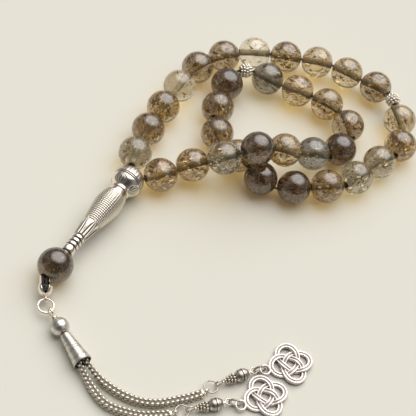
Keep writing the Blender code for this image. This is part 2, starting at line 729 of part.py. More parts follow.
def make_pendant(letter, chain, headings):
    """Ring, connector, charm ring and charm that hang on one chain."""
    solid, end, way = chain
    ring_way, pin_way, link_way, charm_way = [heading(angle) for angle in headings]
    eye_way = (way + ring_way).normalized()
    eye_way = Vector((eye_way.x, eye_way.y, 0)).normalized()
    chain_eye = add_chain_eye(solid, end, eye_way)
    hole = CHAIN_EYE_RADIUS - CHAIN_EYE_WIRE / 2 - CHAIN_RING_WIRE / 2 - LINK_PLAY
    ring = chain_eye + eye_way * hole * 0.5 + ring_way * CHAIN_RING_RADIUS
    ring.z = CHAIN_RING_HEIGHT
    make_ring(f"chain_ring_{letter}", "polished_silver", ring, CHAIN_RING_RADIUS, CHAIN_RING_WIRE)
    play = PIN_EYE_RADIUS - PIN_EYE_WIRE / 2 - CHAIN_RING_WIRE / 2 - LINK_PLAY
    eye = ring + pin_way * (CHAIN_RING_RADIUS + 0.7 * play)
    eye.z = CONNECTOR_BEAD_RADIUS
    far = make_connector(letter, eye, pin_way)
    link = far + pin_way * LINK_PLAY
    link.z = CHARM_RING_RADIUS + CHARM_RING_WIRE / 2
    rise = far.z - link.z
    link += link_way * math.sqrt(CHARM_RING_RADIUS ** 2 - rise ** 2)
    make_ring(f"charm_ring_{letter}", "polished_silver", link, CHARM_RING_RADIUS, CHARM_RING_WIRE,
              frame_along(Vector((0, 0, 1)).cross(link_way)), 12)
    drop = EYELET_HEIGHT - link.z
    grip = link + link_way * math.sqrt(CHARM_RING_RADIUS ** 2 - drop ** 2)
    middle = grip + charm_way * (2 * LINK_PLAY + eyelet_reach())
    middle.z = 0.0
    make_charm(f"charm_{letter}", middle, charm_way)
    spots = {"chain_eye": chain_eye, "ring": ring, "eye": eye, "far": far, "link": link, "grip": grip}
    return spots


def seat_origin():
    """Parent every piece to one empty that puts the origin under the object's middle."""
    bpy.context.view_layer.update()
    pieces = [piece for piece in bpy.context.scene.collection.objects]
    graph = bpy.context.evaluated_depsgraph_get()
    low, high = Vector((1e9,) * 3), Vector((-1e9,) * 3)
    for piece in pieces:
        solid = piece.evaluated_get(graph)
        data = solid.to_mesh()
        for vertex in data.vertices:
            spot = piece.matrix_world @ vertex.co
            low = Vector(map(min, low, spot))
            high = Vector(map(max, high, spot))
        solid.to_mesh_clear()
    layout = bpy.data.objects.new("layout", None)
    bpy.context.scene.collection.objects.link(layout)
    for piece in pieces:
        piece.parent = layout
    layout.location = (-(low.x + high.x) / 2, -(low.y + high.y) / 2, -low.z)
    bpy.context.view_layer.update()
    return layout


def main():
    """Build the misbaha; returns the layout empty and the linking points."""
    clear_scene()
    head = Vector((0, 0, BEAD_RADIUS))
    axis = heading(IMAME_HEADING)
    side = Vector((axis.y, -axis.x, 0))
    places = lay_strand(head)
    make_beads(places)
    make_imame_head(head, axis, places)
    make_imame_body(head, axis)

    tail = head + axis * (BODY_START + BODY_LENGTH + SEAT_GAP + TAIL_HALF)
    mesh = lathe(ball_profile(BEAD_RADIUS, PAIR_BORE_RADIUS, BEAD_BANDS), BEAD_SIDES)
    make("tail_bead", mesh, "stone_smoky", tail, frame_along(axis))
    tail_exit = tail + axis * TAIL_HALF
    cover_axis = heading(COVER_HEADING, COVER_SLOPE)
    reach = BEAD_RADIUS + COVER_RADIUS + SEAT_GAP
    lean = TAIL_HALF * axis.dot(cover_axis)
    cover = tail_exit + cover_axis * (math.sqrt(lean ** 2 + reach ** 2 - TAIL_HALF ** 2) - lean)
    make_cord(places, head, axis, side, tail_exit, cover, cover_axis)
    make_knot_cover(cover, cover_axis)

    hook = hook_centre(cover, cover_axis)
    ring_way = heading(COVER_HEADING)
    jump_ring = hook + ring_way * JUMP_RING_RADIUS
    make_ring("jump_ring", "polished_silver", jump_ring, JUMP_RING_RADIUS, JUMP_RING_WIRE)
    tassel_way = heading(TASSEL_HEADING)
    grip = jump_ring + tassel_way * JUMP_RING_RADIUS
    play = TASSEL_EYE_RADIUS - TASSEL_EYE_WIRE / 2 - JUMP_RING_WIRE / 2 - LINK_PLAY
    eye = grip + tassel_way * play * 0.7
    eye.z = SLEEVE_MOUTH_RADIUS
    mouth = make_tassel(eye, tassel_way)
    spread = gathered_radius() + SEAT_GAP
    chain_a = make_chain("chain_a", CHAIN_A_ROUTE, mouth, tassel_way, spread)
    chain_b = make_chain("chain_b", CHAIN_B_ROUTE, mouth, tassel_way, -spread)
    spots = {"hook": hook, "jump_ring": jump_ring, "grip": grip}
    spots["a"] = make_pendant("a", chain_a, PENDANT_A_HEADINGS)
    spots["b"] = make_pendant("b", chain_b, PENDANT_B_HEADINGS)
    return seat_origin(), spots


if __name__ == "__main__":
    main()
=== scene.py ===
"""Misbaha prayer beads: crackled stone beads, a chased silver imame and a woven chain tassel.

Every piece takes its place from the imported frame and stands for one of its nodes.
"""
import json
import math
import random

import bmesh
import bpy
import numpy as np
from bpy.props import FloatProperty, FloatVectorProperty, IntProperty, PointerProperty
from mathutils import Matrix, Vector


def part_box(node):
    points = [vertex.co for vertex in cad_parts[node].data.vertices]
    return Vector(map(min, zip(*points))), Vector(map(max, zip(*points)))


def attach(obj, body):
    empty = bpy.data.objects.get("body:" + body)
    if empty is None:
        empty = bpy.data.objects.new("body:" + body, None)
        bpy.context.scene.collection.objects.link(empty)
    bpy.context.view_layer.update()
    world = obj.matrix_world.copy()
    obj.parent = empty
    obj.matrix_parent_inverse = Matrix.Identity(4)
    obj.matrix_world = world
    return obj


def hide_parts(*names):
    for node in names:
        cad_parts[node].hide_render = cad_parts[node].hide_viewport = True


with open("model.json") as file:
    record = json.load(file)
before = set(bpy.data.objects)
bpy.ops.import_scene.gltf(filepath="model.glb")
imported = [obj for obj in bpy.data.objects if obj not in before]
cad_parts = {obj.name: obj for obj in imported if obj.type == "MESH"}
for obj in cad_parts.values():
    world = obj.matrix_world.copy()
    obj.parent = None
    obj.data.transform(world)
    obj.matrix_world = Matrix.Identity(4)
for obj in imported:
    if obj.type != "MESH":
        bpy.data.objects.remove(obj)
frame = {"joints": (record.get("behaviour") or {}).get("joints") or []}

bl_info = {
    "name": "Misbaha prayer beads",
    "version": (1, 0, 0),
    "blender": (4, 5, 0),
    "location": "3D View > Sidebar > Misbaha",
    "description": "Builds a 33-bead misbaha with imame, tassel and knot charms",
    "category": "Add Mesh",
}

MM = 0.001
TAU = 2 * math.pi
UP = Vector((0, 0, 1))
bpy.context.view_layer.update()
JOINTS = {joint["name"]: joint for joint in frame["joints"]}

# Gap where one piece seats on another, and the radius of an outline's end on its turning axis
SEAT_GAP = 0.15 * MM
ON_AXIS = 1e-6
# Facets of a bead along and round its bore, rings along a bore, and slit of a bent ring's joint
BEAD_BANDS, BEAD_SIDES = 40, 56
BORE_RINGS = 9
RING_SLIT = 0.03
# Headings in plan of the cover and the tassel, and the cover's slope, in degrees
COVER_HEADING, COVER_SLOPE, TASSEL_HEADING = -72.0, -28.0, -46.0
# Share of its play that the tassel's eye has taken up on the jump ring
EYE_SLIP = 0.7
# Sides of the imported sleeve, whose flats the chains clear
SLEEVE_SIDES = 12

# Bead numbers of each stone tone; all others are smoky
STONE_TONES = {
    "pale": (4, 7),
    "honey": (9, 10, 12, 24),
    "grey": (1, 14, 15, 31),
    "slate": (23, 28),
    "golden": (3, 8, 13, 19, 25, 29, 32, 33),
    "dark": (17, 18, 22, 27, 30),
}
# Slot of each tone, and its share of the full count of crackle flecks
TONES = {
    "pale": ("stone_pale", 0.2), "honey": ("stone_golden", 0.5), "grey": ("stone_pale", 0.6),
    "slate": ("stone_smoky", 0.55), "golden": ("stone_golden", 0.85),
    "smoky": ("stone_smoky", 0.95), "dark": ("stone_smoky", 1.1),
}
BEADS_PER_GROUP = 11

# Crackle: seed, clear skin, flat cracks in a bead and the share of flecks in them, their scatter,
# share of flecks just under the skin, and the side of each bead as laid with more golden flecks,
# where they paint light focused through the bead
CRACKLE_SEED = 33
CLEAR_SKIN = 0.1 * MM
CRACKS, CRACK_SHARE, CRACK_SCATTER = 6, 0.6, 0.2 * MM
SKIN_SHARES = {"stone_smoky": 0.3, "stone_golden": 0.12, "stone_pale": 0.12}
FOCUSED_LIGHT_SIDE = Vector((0.0, -0.8, -0.6))
# Shares of bright flecks and of flashes at a bead's middle, and their gain to its golden side,
# where more of them paint the glow and glints of light focused through the bead
BRIGHT_SHARE, BRIGHT_GAIN = 0.40, 0.55
FLASH_SHARE, FLASH_GAIN = 0.09, 0.16
BRIGHT, SHADED, FLASH = range(3)

# Cord: pitch of its rings, plies, and length that one ply takes to turn into the next's place
CORD_PITCH, PLIES, PLY_LAY = 0.45 * MM, 3, 2.2 * MM
# Latitudes of the rows of grains on a divider, pitch of the grains in a row, and the tarnish
# between them
GRAIN_LATITUDES, GRAIN_PITCH, CORE_DULL = (-52, -26, 0, 26, 52), 1.12, 0.6

# Room: way to the window and to its dim side, each with outer and inner half angle, and
# brightness by height
WINDOW = ((0.16, 0.48, 0.86), 49, 22)
DIM_SIDE = ((0.0, -0.62, 0.78), 52, 14)
ROOM_LEVELS = [(0.0, 0.17), (0.35, 0.25), (1.0, 0.30)]

# Chain routes in plan from the sleeve's mouth, and headings of ring, connector, link and charm
CHAIN_ROUTES = {
    "a": [(6.9, -3.7), (14.4, -6.2), (20.9, -5.9), (28.2, -2.5), (32.8, 0.4)],
    "b": [(4.4, -6.3), (9.4, -9.7), (16.9, -10.3), (22.7, -8.9), (25.8, -7.6)],
}
PENDANT_HEADINGS = {"a": (62.0, 37.0, 24.0, 31.0), "b": (27.0, 27.0, 0.0, 37.0)}


def size(name, millimetres, what):
    """A length that a user may change."""
    return FloatProperty(name=name, description=what, default=millimetres * MM, min=0.0,
                         precision=5, unit="LENGTH")


def tint(name, colour, what):
    """A colour that a user may change."""
    return FloatVectorProperty(name=name, description=what, default=colour, size=3, min=0.0,
                               max=1.0, subtype="COLOR")


def tally(name, amount, what, least):
    """A number of like features that a user may change."""
    return IntProperty(name=name, description=what, default=amount, min=least)


def bearing(name, degrees, what):
    """An angle that a user may change."""
    return FloatProperty(name=name, description=what, default=math.radians(degrees),
                         subtype="ANGLE")


def factor(name, amount, what, **limits):
    """A plain number that a user may change."""
    return FloatProperty(name=name, description=what, default=amount, **limits)


class StrandSettings(bpy.types.PropertyGroup):
    """Sizes of the beads, dividers and cord."""
    bead: size("Bead", 10.0, "Diameter of a stone bead")
    bore: size("Bore", 1.2, "Diameter of a bead's bore at its middle")
    flare: size("Flare", 0.45, "How much wider a bead's bore is all round at its mouths")
    tail_bore: size("Tail bore", 2.3, "Diameter of the tail bead's bore for the doubled cord")
    divider: size("Divider", 4.8, "Diameter of a divider over its grains")
    grain: size("Grain", 0.86, "Diameter of one grain on a divider")
    cord: size("Cord", 0.8, "Diameter of the stringing cord")
    pair_gap: size("Pair gap", 0.3, "Gap between the two cord ends in the imame")
    flecks: tally("Flecks", 420, "Crackle flecks in one bead", 0)
    fleck: size("Fleck", 0.85, "Length of an average crackle fleck")


class StoneColours(bpy.types.PropertyGroup):
    """Colours of the stone and what lies in it."""
    smoky: tint("Smoky", (0.57, 0.44, 0.285), "Brown stone")
    dark: tint("Dark", (0.22, 0.155, 0.10), "Darkest stone")
    golden: tint("Golden", (0.69, 0.54, 0.33), "Golden stone")
    honey: tint("Honey", (0.81, 0.675, 0.46), "Clear golden stone")
    pale: tint("Pale", (0.97, 0.91, 0.79), "Nearly clear stone")
    grey: tint("Grey", (0.74, 0.71, 0.64), "Clear grey stone")
    slate: tint("Slate", (0.42, 0.415, 0.41), "Cloudy grey stone")
    gold_fleck: tint("Gold fleck", (1.0, 0.82, 0.46), "Golden crackle")
    brown_fleck: tint("Brown fleck", (0.29, 0.205, 0.125), "Brown crackle")
    tan_fleck: tint("Tan fleck", (0.43, 0.31, 0.18), "Tan crackle of the light beads")
    clear_fleck: tint("Clear fleck", (0.97, 0.93, 0.80), "Bright crackle of the clear beads")
    flash_fleck: tint("Flash fleck", (1.0, 0.90, 0.62), "Crackle that mirrors the light")
    bore: tint("Bore", (0.30, 0.265, 0.20), "Rough drilled wall of a bore")
    cord: tint("Cord", (0.075, 0.068, 0.058), "Stringing cord")


class SilverColours(bpy.types.PropertyGroup):
    """Colours of the silver finishes."""
    polished: tint("Polished", (0.965, 0.885, 0.77), "Polished silver")
    satin: tint("Satin", (0.86, 0.82, 0.745), "Brushed silver")
    woven: tint("Woven", (0.78, 0.715, 0.60), "Worn silver of chains and grains")
    cast: tint("Cast", (0.89, 0.825, 0.79), "Cast silver of the charms")
    # Dark of tarnish in grooves, and of painted shade in cups, the sleeve, the chain weave and at
    # the charms' walls
    tarnish: tint("Tarnish", (0.045, 0.038, 0.030), "Dark in grooves and hollows")


class ImameSettings(bpy.types.PropertyGroup):
    """Sizes of the imame's head and body."""
    head: size("Head", 9.4, "Diameter of the head")
    seat: size("Seat", 4.0, "Height of the head's flat seat from its middle")
    seat_gap: size("Seat gap", 0.15, "Gap between head and body")
    collar: size("Collar", 0.6, "Length of the collar")
    collar_radius: size("Collar radius", 3.1, "Radius of the collar")
    neck: size("Neck", 0.3, "Length of the neck")
    neck_radius: size("Neck radius", 2.65, "Radius of the neck")
    shoulder: size("Shoulder", 5.6, "Length from the neck to the belly")
    shoulder_radius: size("Shoulder radius", 3.0, "Radius at the neck's end of the shoulder")
    belly: size("Belly", 4.05, "Largest radius of the body")
    taper: size("Taper", 13.6, "Length from the belly to the foot")
    foot: size("Foot", 1.9, "Radius of the foot and its rings")
    ridged: size("Ridged", 10.0, "Length of the ridged stretch")
    ridges: tally("Ridges", 20, "Fine ridges round the body", 1)
    grains: tally("Grains", 36, "Grains along one ridge", 3)
    ridge_depth: size("Ridge depth", 0.2, "Depth of a valley between ridges")
    leaves: tally("Leaves", 4, "Chased leaves round the head", 1)
    leaf_turn: bearing("Leaf turn", 63, "Turn of the leaves round the head")
    petals: tally("Petals", 6, "Lancet petals round the foot", 3)
    chasing: size("Chasing", 0.12, "Rise of a chased outline")
    rings: tally("Rings", 3, "Turned rings below the foot", 0)
    ring: size("Ring", 1.4, "Length of one turned ring")
    end_bead: size("End bead", 2.4, "Length of the end bead")
    end_radius: size("End radius", 1.95, "Radius of the end bead")
    groove: size("Groove", 0.3, "Depth of a turned groove")


class TasselSettings(bpy.types.PropertyGroup):
    """Sizes of the knot cover, the tassel, its chains and connectors."""
    cover: size("Cover", 4.1, "Diameter of the knot cover")
    cover_wall: size("Cover wall", 0.35, "Wall of the knot cover")
    cover_opening: size("Cover opening", 2.2, "Width of the cover's open top")
    cover_mouth: size("Cover mouth", 2.3, "Width between the cover's two arms")
    cover_arms: size("Cover arms", 1.3, "Length of the arms above the cover's cup")
    cover_taper: factor("Cover taper", 1.15, "Stretch of the cover's closed end", min=1.0)
    hook: size("Hook", 0.9, "Radius of the cover's hook")
    hook_wire: size("Hook wire", 0.5, "Wire of the cover's hook")
    jump_ring: size("Jump ring", 2.15, "Radius of the jump ring")
    jump_wire: size("Jump wire", 0.7, "Wire of the jump ring")
    eye: size("Eye", 1.4, "Radius of the tassel's eye")
    eye_wire: size("Eye wire", 0.6, "Wire of the tassel's eye")
    neck: size("Neck", 1.0, "Length between the eye and the ball")
    ball: size("Ball", 5.2, "Diameter of the tassel's ball")
    pin: size("Pin", 0.9, "Diameter of the tassel's pin")
    sleeve: size("Sleeve", 9.6, "Length of the flared sleeve")
    sleeve_top: size("Sleeve top", 1.5, "Radius of the sleeve's narrow end")
    sleeve_mouth: size("Sleeve mouth", 2.65, "Radius of the sleeve's mouth")
    sleeve_wall: size("Sleeve wall", 0.35, "Wall of the sleeve")
    chain: size("Chain", 2.5, "Width of a woven chain")
    chain_pitch: size("Chain pitch", 1.3, "Length of one loop of the weave")
    chain_tuck: size("Chain tuck", 2.2, "Length of chain inside the sleeve")
    chain_eye: size("Chain eye", 1.0, "Radius of the eye at a chain's end")
    chain_eye_wire: size("Chain eye wire", 0.5, "Wire of the eye at a chain's end")
    chain_ring: size("Chain ring", 1.8, "Radius of the ring on a chain")
    ring_wire: size("Ring wire", 0.6, "Wire of the small rings")
    play: size("Play", 0.12, "Play between two links")
    pin_length: size("Connector", 10.6, "Length of a connector between its eyes")
    pin_wire: size("Connector wire", 0.6, "Diameter of a connector's pin")
    pin_eye: size("Connector eye", 1.2, "Radius of a connector's first eye")
    pin_eye_wire: size("Connector eye wire", 0.5, "Wire of a connector's eyes")
    pin_far_eye: size("Connector far eye", 0.9, "Radius of a connector's far eye")
    cap: size("Cap", 3.2, "Length of the granulated cap")
    cap_small: size("Cap small", 0.75, "Radius of the cap's narrow end")
    cap_large: size("Cap large", 1.6, "Radius of the cap's wide end")
    bead: size("Connector bead", 4.0, "Length of a connector's bead")
    bead_radius: size("Connector bead radius", 1.8, "Radius of a connector's bead")
    bead_line: size("Connector bead line", 0.5, "Length of the line round a connector's bead")
    charm_ring: size("Charm ring", 1.6, "Radius of the ring at a charm")


class CharmSettings(bpy.types.PropertyGroup):
    """Sizes of the knot charms."""
    radius: size("Radius", 6.3, "Reach of a lobe from the charm's middle")
    band: size("Band", 1.4, "Width of the woven band")
    lobe_ratio: factor("Lobe ratio", 1.9, "How far the lobes swing out", min=0.1)
    under: size("Under", 1.05, "Height of the band where it passes under")
    over: size("Over", 1.7, "Height of the band where it passes over")
    groove: size("Groove", 0.34, "Depth of the groove along the band")
    eyelet: size("Eyelet", 1.35, "Radius of the eyelet")
    eyelet_wire: size("Eyelet wire", 0.7, "Wire of the eyelet")
    eyelet_height: size("Eyelet height", 1.15, "Height of the eyelet's middle")


class StageSettings(bpy.types.PropertyGroup):
    """Floor, light and camera."""
    floor: tint("Floor", (0.787, 0.767, 0.674), "Pale floor")
    room: tint("Room", (1.0, 0.985, 0.97), "Soft light from all round")
    camera_side: size("Camera side", 24.3, "Camera's distance beside the imame head")
    camera_back: size("Camera back", 224.0, "Camera's distance before the imame head")
    camera_height: size("Camera height", 301.4, "Camera's height above the floor")
    elevation: bearing("Elevation", 53.22, "How far the camera looks down")
    roll: bearing("Roll", 13.65, "How far the camera leans")
    field: bearing("Field of view", 18.34, "Camera's field of view")
    window: factor("Window", 2.45, "Brightness of the wide soft window", min=0.0)
    dim: factor("Dim", 0.8, "How much dimmer the room is before the piece", min=0.0, max=1.0)


def spot(name):
    """Place of a joint."""
    return Vector(JOINTS[name]["pos_m"])


def way(name):
    """Axis of a joint."""
    return Vector(JOINTS[name]["axis"]).normalized()


def middle(node):
    """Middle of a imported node's box."""
    low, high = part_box(node)
    return (Vector(low) + Vector(high)) / 2


def heading(degrees, slope=0.0):
    """Unit vector at a plan heading, counted from +X, and a slope."""
    turn, rise = math.radians(degrees), math.radians(slope)
    level = math.cos(rise)
    return Vector((math.cos(turn) * level, math.sin(turn) * level, math.sin(rise)))


def frame_along(axis, up=UP):
    """Rotation whose local Z runs along axis and whose local X stays close to up."""
    z = axis.normalized()
    x = up - up.dot(z) * z
    if x.length < 1e-6:
        x = Vector((1, 0, 0)) - z.x * z
    x.normalize()
    return Matrix((x, z.cross(x), z)).transposed()


def smooth_path(points, steps):
    """Catmull-Rom curve through the points, end points included."""
    points = [Vector(point) for point in points]
    points = [2 * points[0] - points[1]] + points + [2 * points[-1] - points[-2]]
    path = []
    for a, b, c, d in zip(points, points[1:], points[2:], points[3:]):
        for step in range(steps):
            t = step / steps
            path.append(0.5 * (2 * b + (c - a) * t + (2 * a - 5 * b + 4 * c - d) * t * t
                               + (3 * b - a - 3 * c + d) * t ** 3))
    path.append(points[-2])
    return path


def evenly(path, pitch):
    """Points at an even pitch along a path, with the way at each."""
    reach = np.cumsum([0.0] + [(b - a).length for a, b in zip(path, path[1:])])
    count = max(2, round(reach[-1] / pitch) + 1)
    wanted = np.linspace(0.0, reach[-1], count)
    spots = np.array([point[:] for point in path])
    places = np.stack([np.interp(wanted, reach, spots[:, k]) for k in range(3)], axis=1)
    ways = np.gradient(places, axis=0)
    ways /= np.linalg.norm(ways, axis=1)[:, None]
    return [Vector(place) for place in places], [Vector(w) for w in ways]


class Shape:
    """Vertices and faces of one piece, with each vertex's recess and finish."""

    def __init__(self):
        self.spots, self.faces, self.recess, self.along, self.finish = [], [], [], [], []

    def add(self, form, origin=(0, 0, 0), turn=None, finish=0, recess=None):
        """Add a form, turned and moved into place."""
        spots, faces, hollow = form
        base = sum(len(part) for part in self.spots)
        self.along.append(np.array(spots)[:, 2])
        if turn is not None:
            spots = spots @ np.array(turn).T
        self.spots.append(spots + np.array(origin))
        self.faces.extend(tuple(base + corner for corner in face) for face in faces)
        self.recess.append(hollow if recess is None else np.full(len(spots), float(recess)))
        self.finish.extend([finish] * len(faces) if isinstance(finish, int) else finish)
        return self

    def piece(self, name, materials, body, slot, *nodes, smooth=True):
        """Make the named piece, ride it on its body and let it stand for its nodes."""
        data = bpy.data.meshes.new(name)
        data.from_pydata(np.concatenate(self.spots).tolist(), [], self.faces)
        data.polygons.foreach_set("use_smooth", [smooth] * len(data.polygons))
        for finish in materials:
            data.materials.append(finish)
        data.polygons.foreach_set("material_index", self.finish)
        hollow = data.attributes.new("recess", "FLOAT", "POINT")
        hollow.data.foreach_set("value", np.concatenate(self.recess))
        along = data.attributes.new("along", "FLOAT", "POINT")
        along.data.foreach_set("value", np.concatenate(self.along))
        data.update()
        mesh = bmesh.new()
        mesh.from_mesh(data)
        bmesh.ops.recalc_face_normals(mesh, faces=mesh.faces)
        mesh.to_mesh(data)
        mesh.free()
        made = bpy.data.objects.new(name, data)
        bpy.context.scene.collection.objects.link(made)
        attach(made, body)
        if nodes:
            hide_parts(*nodes)
        return made


def skin(rows, ring, closed):
    """Faces over rows of equal rings, which close into a loop or end in caps."""
    faces = []
    for row in range(rows if closed else rows - 1):
        here, there = row * ring, (row + 1) % rows * ring
        for corner in range(ring):
            after = (corner + 1) % ring
            faces.append((here + corner, here + after, there + after, there + corner))
    if not closed:
        faces.append(tuple(range(ring))[::-1])
        faces.append(tuple((rows - 1) * ring + corner for corner in range(ring)))
    return faces


def turned(outline, sides, relief=None, gaps=None):
    """Turn a closed (radius, height) outline round Z; relief gives lift and recess by place.

    Gaps leave half an angle open at each height on both sides of local X.
    """
    full = gaps is None
    outline = np.array(outline)
    count = sides if full else sides + 1
    open_half = np.zeros(len(outline)) if full else np.array(gaps)
    turn = np.arange(count)[:, None] / sides
    angle = open_half[None, :] + (TAU - 2 * open_half[None, :]) * turn
    radius = np.repeat(outline[None, :, 0], count, axis=0)
    height = np.repeat(outline[None, :, 1], count, axis=0)
    hollow = np.zeros_like(radius)
    if relief:
        lift, hollow = relief(radius, height, angle)
        radius = radius + lift
    spots = np.stack([radius * np.cos(angle), radius * np.sin(angle), height], axis=2)
    faces = skin(count, len(outline), full)
    return spots.reshape(-1, 3), faces, hollow.reshape(-1)


def tube(path, radii, sides, lobes=0, lobe_depth=0.0, twist=0.0):
    """Closed tube along a path; lobes twist round it like the plies of a cord."""
    ways = [(b - a).normalized() for a, b in zip(path, path[1:])]
    ways = [ways[0]] + [(a + b).normalized() for a, b in zip(ways, ways[1:])] + [ways[-1]]
    side = frame_along(ways[0]).col[0].copy()
    spots, hollow, run = [], [], 0.0
    for index, (point, along) in enumerate(zip(path, ways)):
        if index:
            run += (point - path[index - 1]).length
        side = (side - side.dot(along) * along).normalized()
        other = along.cross(side)
        radius = radii if isinstance(radii, float) else radii[index]
        for corner in range(sides):
            angle = TAU * corner / sides
            ply = 0.5 - 0.5 * math.cos(lobes * (angle - twist * run)) if lobes else 0.0
            reach = radius - lobe_depth * ply
            spots.append(point + (side * math.cos(angle) + other * math.sin(angle)) * reach)
            hollow.append(ply)
    spots = np.array([s[:] for s in spots])
    return spots, skin(len(path), sides, False), np.array(hollow)


def wire_ring(radius, wire, turns=56, sides=14, slit=0.0):
    """Ring of round wire about Z, with the fine slit of its joint where one is given."""
    if slit:
        angles = [slit / 2 + (TAU - slit) * step / turns for step in range(turns + 1)]
        path = [Vector((radius * math.cos(turn), radius * math.sin(turn), 0)) for turn in angles]
        return tube(path, wire / 2, sides)
    outline = [(radius + wire / 2 * math.cos(TAU * k / sides), wire / 2 * math.sin(TAU * k / sides))
               for k in range(sides)]
    return turned(outline, turns)


def ball(radius, stretch=1.0, fineness=2):
    """Small round grain, stretched along Z."""
    mesh = bmesh.new()
    bmesh.ops.create_icosphere(mesh, subdivisions=fineness, radius=radius)
    spots = np.array([vert.co[:] for vert in mesh.verts])
    faces = [tuple(vert.index for vert in face.verts) for face in mesh.faces]
    mesh.free()
    spots[:, 2] *= stretch
    return spots, faces, np.zeros(len(spots))


def rod(radius, start, end, sides=24, bevel=0.0):
    """Solid round rod along Z with softened ends."""
    outline = [(ON_AXIS, start), (radius - bevel, start), (radius, start + bevel),
               (radius, end - bevel), (radius - bevel, end), (ON_AXIS, end)]
    return turned(outline, sides)


def drilled_ball(radius, bore, bands, sides, flare=0.0):
    """Ball with a bore whose mouths are eased and may flare."""
    ease = 0.03 * radius
    wide = bore + flare
    mouth = math.asin((wide + ease) / radius)
    outline = []
    for band in range(bands + 1):
        angle = mouth + (math.pi - 2 * mouth) * band / bands
        outline.append((radius * math.sin(angle), -radius * math.cos(angle)))
    end = radius * math.cos(mouth) - 0.6 * ease
    for height in np.linspace(end, -end, BORE_RINGS):
        outline.append((bore + flare * (height / end) ** 2, height))
    return turned(outline, sides)


def bore_faces(bands, sides):
    """Finish of each face of a drilled ball: 1 on the wall of its bore."""
    ring = bands + 1 + BORE_RINGS
    return [int(bands < face % ring < ring - 1) for face in range(ring * sides)]


def shader_nodes(tree, kind, **sockets):
    """Add a node and set its sockets by name."""
    made = tree.nodes.new(kind)
    for name, value in sockets.items():
        made.inputs[name.replace("_", " ")].default_value = value
    return made


def new_group(name, inputs, outputs):
    """Shader node group with named sockets; returns it with its two end nodes."""
    group = bpy.data.node_groups.new(name, "ShaderNodeTree")
    for label, kind, value in inputs:
        socket = group.interface.new_socket(label, in_out="INPUT", socket_type=kind)
        socket.default_value = value
    for label, kind in outputs:
        group.interface.new_socket(label, in_out="OUTPUT", socket_type=kind)
    return group, group.nodes.new("NodeGroupInput"), group.nodes.new("NodeGroupOutput")


def feed(tree, value, socket):
    """Link a socket to another one, or set it to a constant."""
    if hasattr(value, "is_linked"):
        tree.links.new(value, socket)
    else:
        socket.default_value = value


def math_node(tree, operation, first, second, clamp=False):
    """Math node fed by two sockets or constants."""
    made = tree.nodes.new("ShaderNodeMath")
    made.operation = operation
    made.use_clamp = clamp
    feed(tree, first, made.inputs[0])
    feed(tree, second, made.inputs[1])
    return made.outputs[0]


def mix_colour(tree, share, first, second):
    """Mix two colours, each a socket or a constant, by a share."""
    made = tree.nodes.new("ShaderNodeMix")
    made.data_type = "RGBA"
    for index, value in ((0, share), (6, first), (7, second)):
        feed(tree, value, made.inputs[index])
    return made.outputs[2]


def ramp(tree, value, stops):
    """Grey ramp through (place, brightness) stops."""
    made = tree.nodes.new("ShaderNodeValToRGB")
    marks = made.color_ramp.elements
    while len(marks) < len(stops):
        marks.new(0.5)
    for mark, (place, level) in zip(marks, stops):
        mark.position = place
        mark.color = (level, level, level, 1.0)
    tree.links.new(value, made.inputs[0])
    return made.outputs[0]


def noise(tree, vector, scale, detail, rough=0.55):
    """Noise at a scale per metre."""
    made = shader_nodes(tree, "ShaderNodeTexNoise", Scale=scale, Detail=detail, Roughness=rough)
    tree.links.new(vector, made.inputs["Vector"])
    return made.outputs["Fac"]


def patina_and_shade_group():
    """Silver with dark hollows, soft stains and fine scuffs; the dark is tarnish in chased lines,
    grooves and between grains, and painted shade inside the knot cover and sleeve, in the chain
    weave and at the charms' walls.
    """
    found = bpy.data.node_groups.get("Silver tarnish")
    if found:
        return found
    colour, number = "NodeSocketColor", "NodeSocketFloat"
    group, start, end = new_group(
        "Silver tarnish",
        [("Silver", colour, (0.9, 0.88, 0.84, 1)), ("Tarnish", colour, (0.05, 0.05, 0.05, 1)),
         ("Dark", number, 0.85), ("Gloss", number, 0.14), ("Scuff", number, 0.1)],
        [("Color", colour), ("Roughness", number), ("Height", number)])
    place = group.nodes.new("ShaderNodeTexCoord").outputs["Object"]
    hollow = group.nodes.new("ShaderNodeAttribute")
    hollow.attribute_name = "recess"
    cloud = noise(group, place, scale=420.0, detail=5.0)
    stain = ramp(group, cloud, [(0.35, 0.0), (0.75, 1.0)])
    fine = noise(group, place, scale=5200.0, detail=3.0, rough=0.7)
    depth = math_node(group, "MULTIPLY", hollow.outputs["Fac"], start.outputs["Dark"], True)
    cloudy = math_node(group, "MULTIPLY", stain, 0.16)
    share = math_node(group, "MAXIMUM", depth, cloudy)
    mixed = mix_colour(group, share, start.outputs["Silver"], start.outputs["Tarnish"])
    group.links.new(mixed, end.inputs["Color"])
    rough = math_node(group, "MULTIPLY", fine, start.outputs["Scuff"])
    rough = math_node(group, "ADD", rough, start.outputs["Gloss"])
    deep = math_node(group, "MULTIPLY", depth, 0.35)
    group.links.new(math_node(group, "ADD", rough, deep), end.inputs["Roughness"])
    group.links.new(fine, end.inputs["Height"])
    return group


def hairline_group():
    """Fine turned lines that run round a piece."""
    found = bpy.data.node_groups.get("Turned hairlines")
    if found:
        return found
    number = "NodeSocketFloat"
    group, start, end = new_group("Turned hairlines", [("Lines", number, 9000.0)],
                                  [("Height", number), ("Mask", number)])
    along = group.nodes.new("ShaderNodeAttribute")
    along.attribute_name = "along"
    place = group.nodes.new("ShaderNodeTexCoord").outputs["Object"]
    run = math_node(group, "MULTIPLY", along.outputs["Fac"], start.outputs["Lines"])
    both = group.nodes.new("ShaderNodeCombineXYZ")
    group.links.new(run, both.inputs[0])
    drift = noise(group, place, scale=160.0, detail=2.0)
    group.links.new(drift, both.inputs[1])
    lines = noise(group, both.outputs[0], scale=1.0, detail=3.0, rough=0.6)
    group.links.new(lines, end.inputs["Height"])
    group.links.new(ramp(group, lines, [(0.38, 0.0), (0.62, 1.0)]), end.inputs["Mask"])
    return group


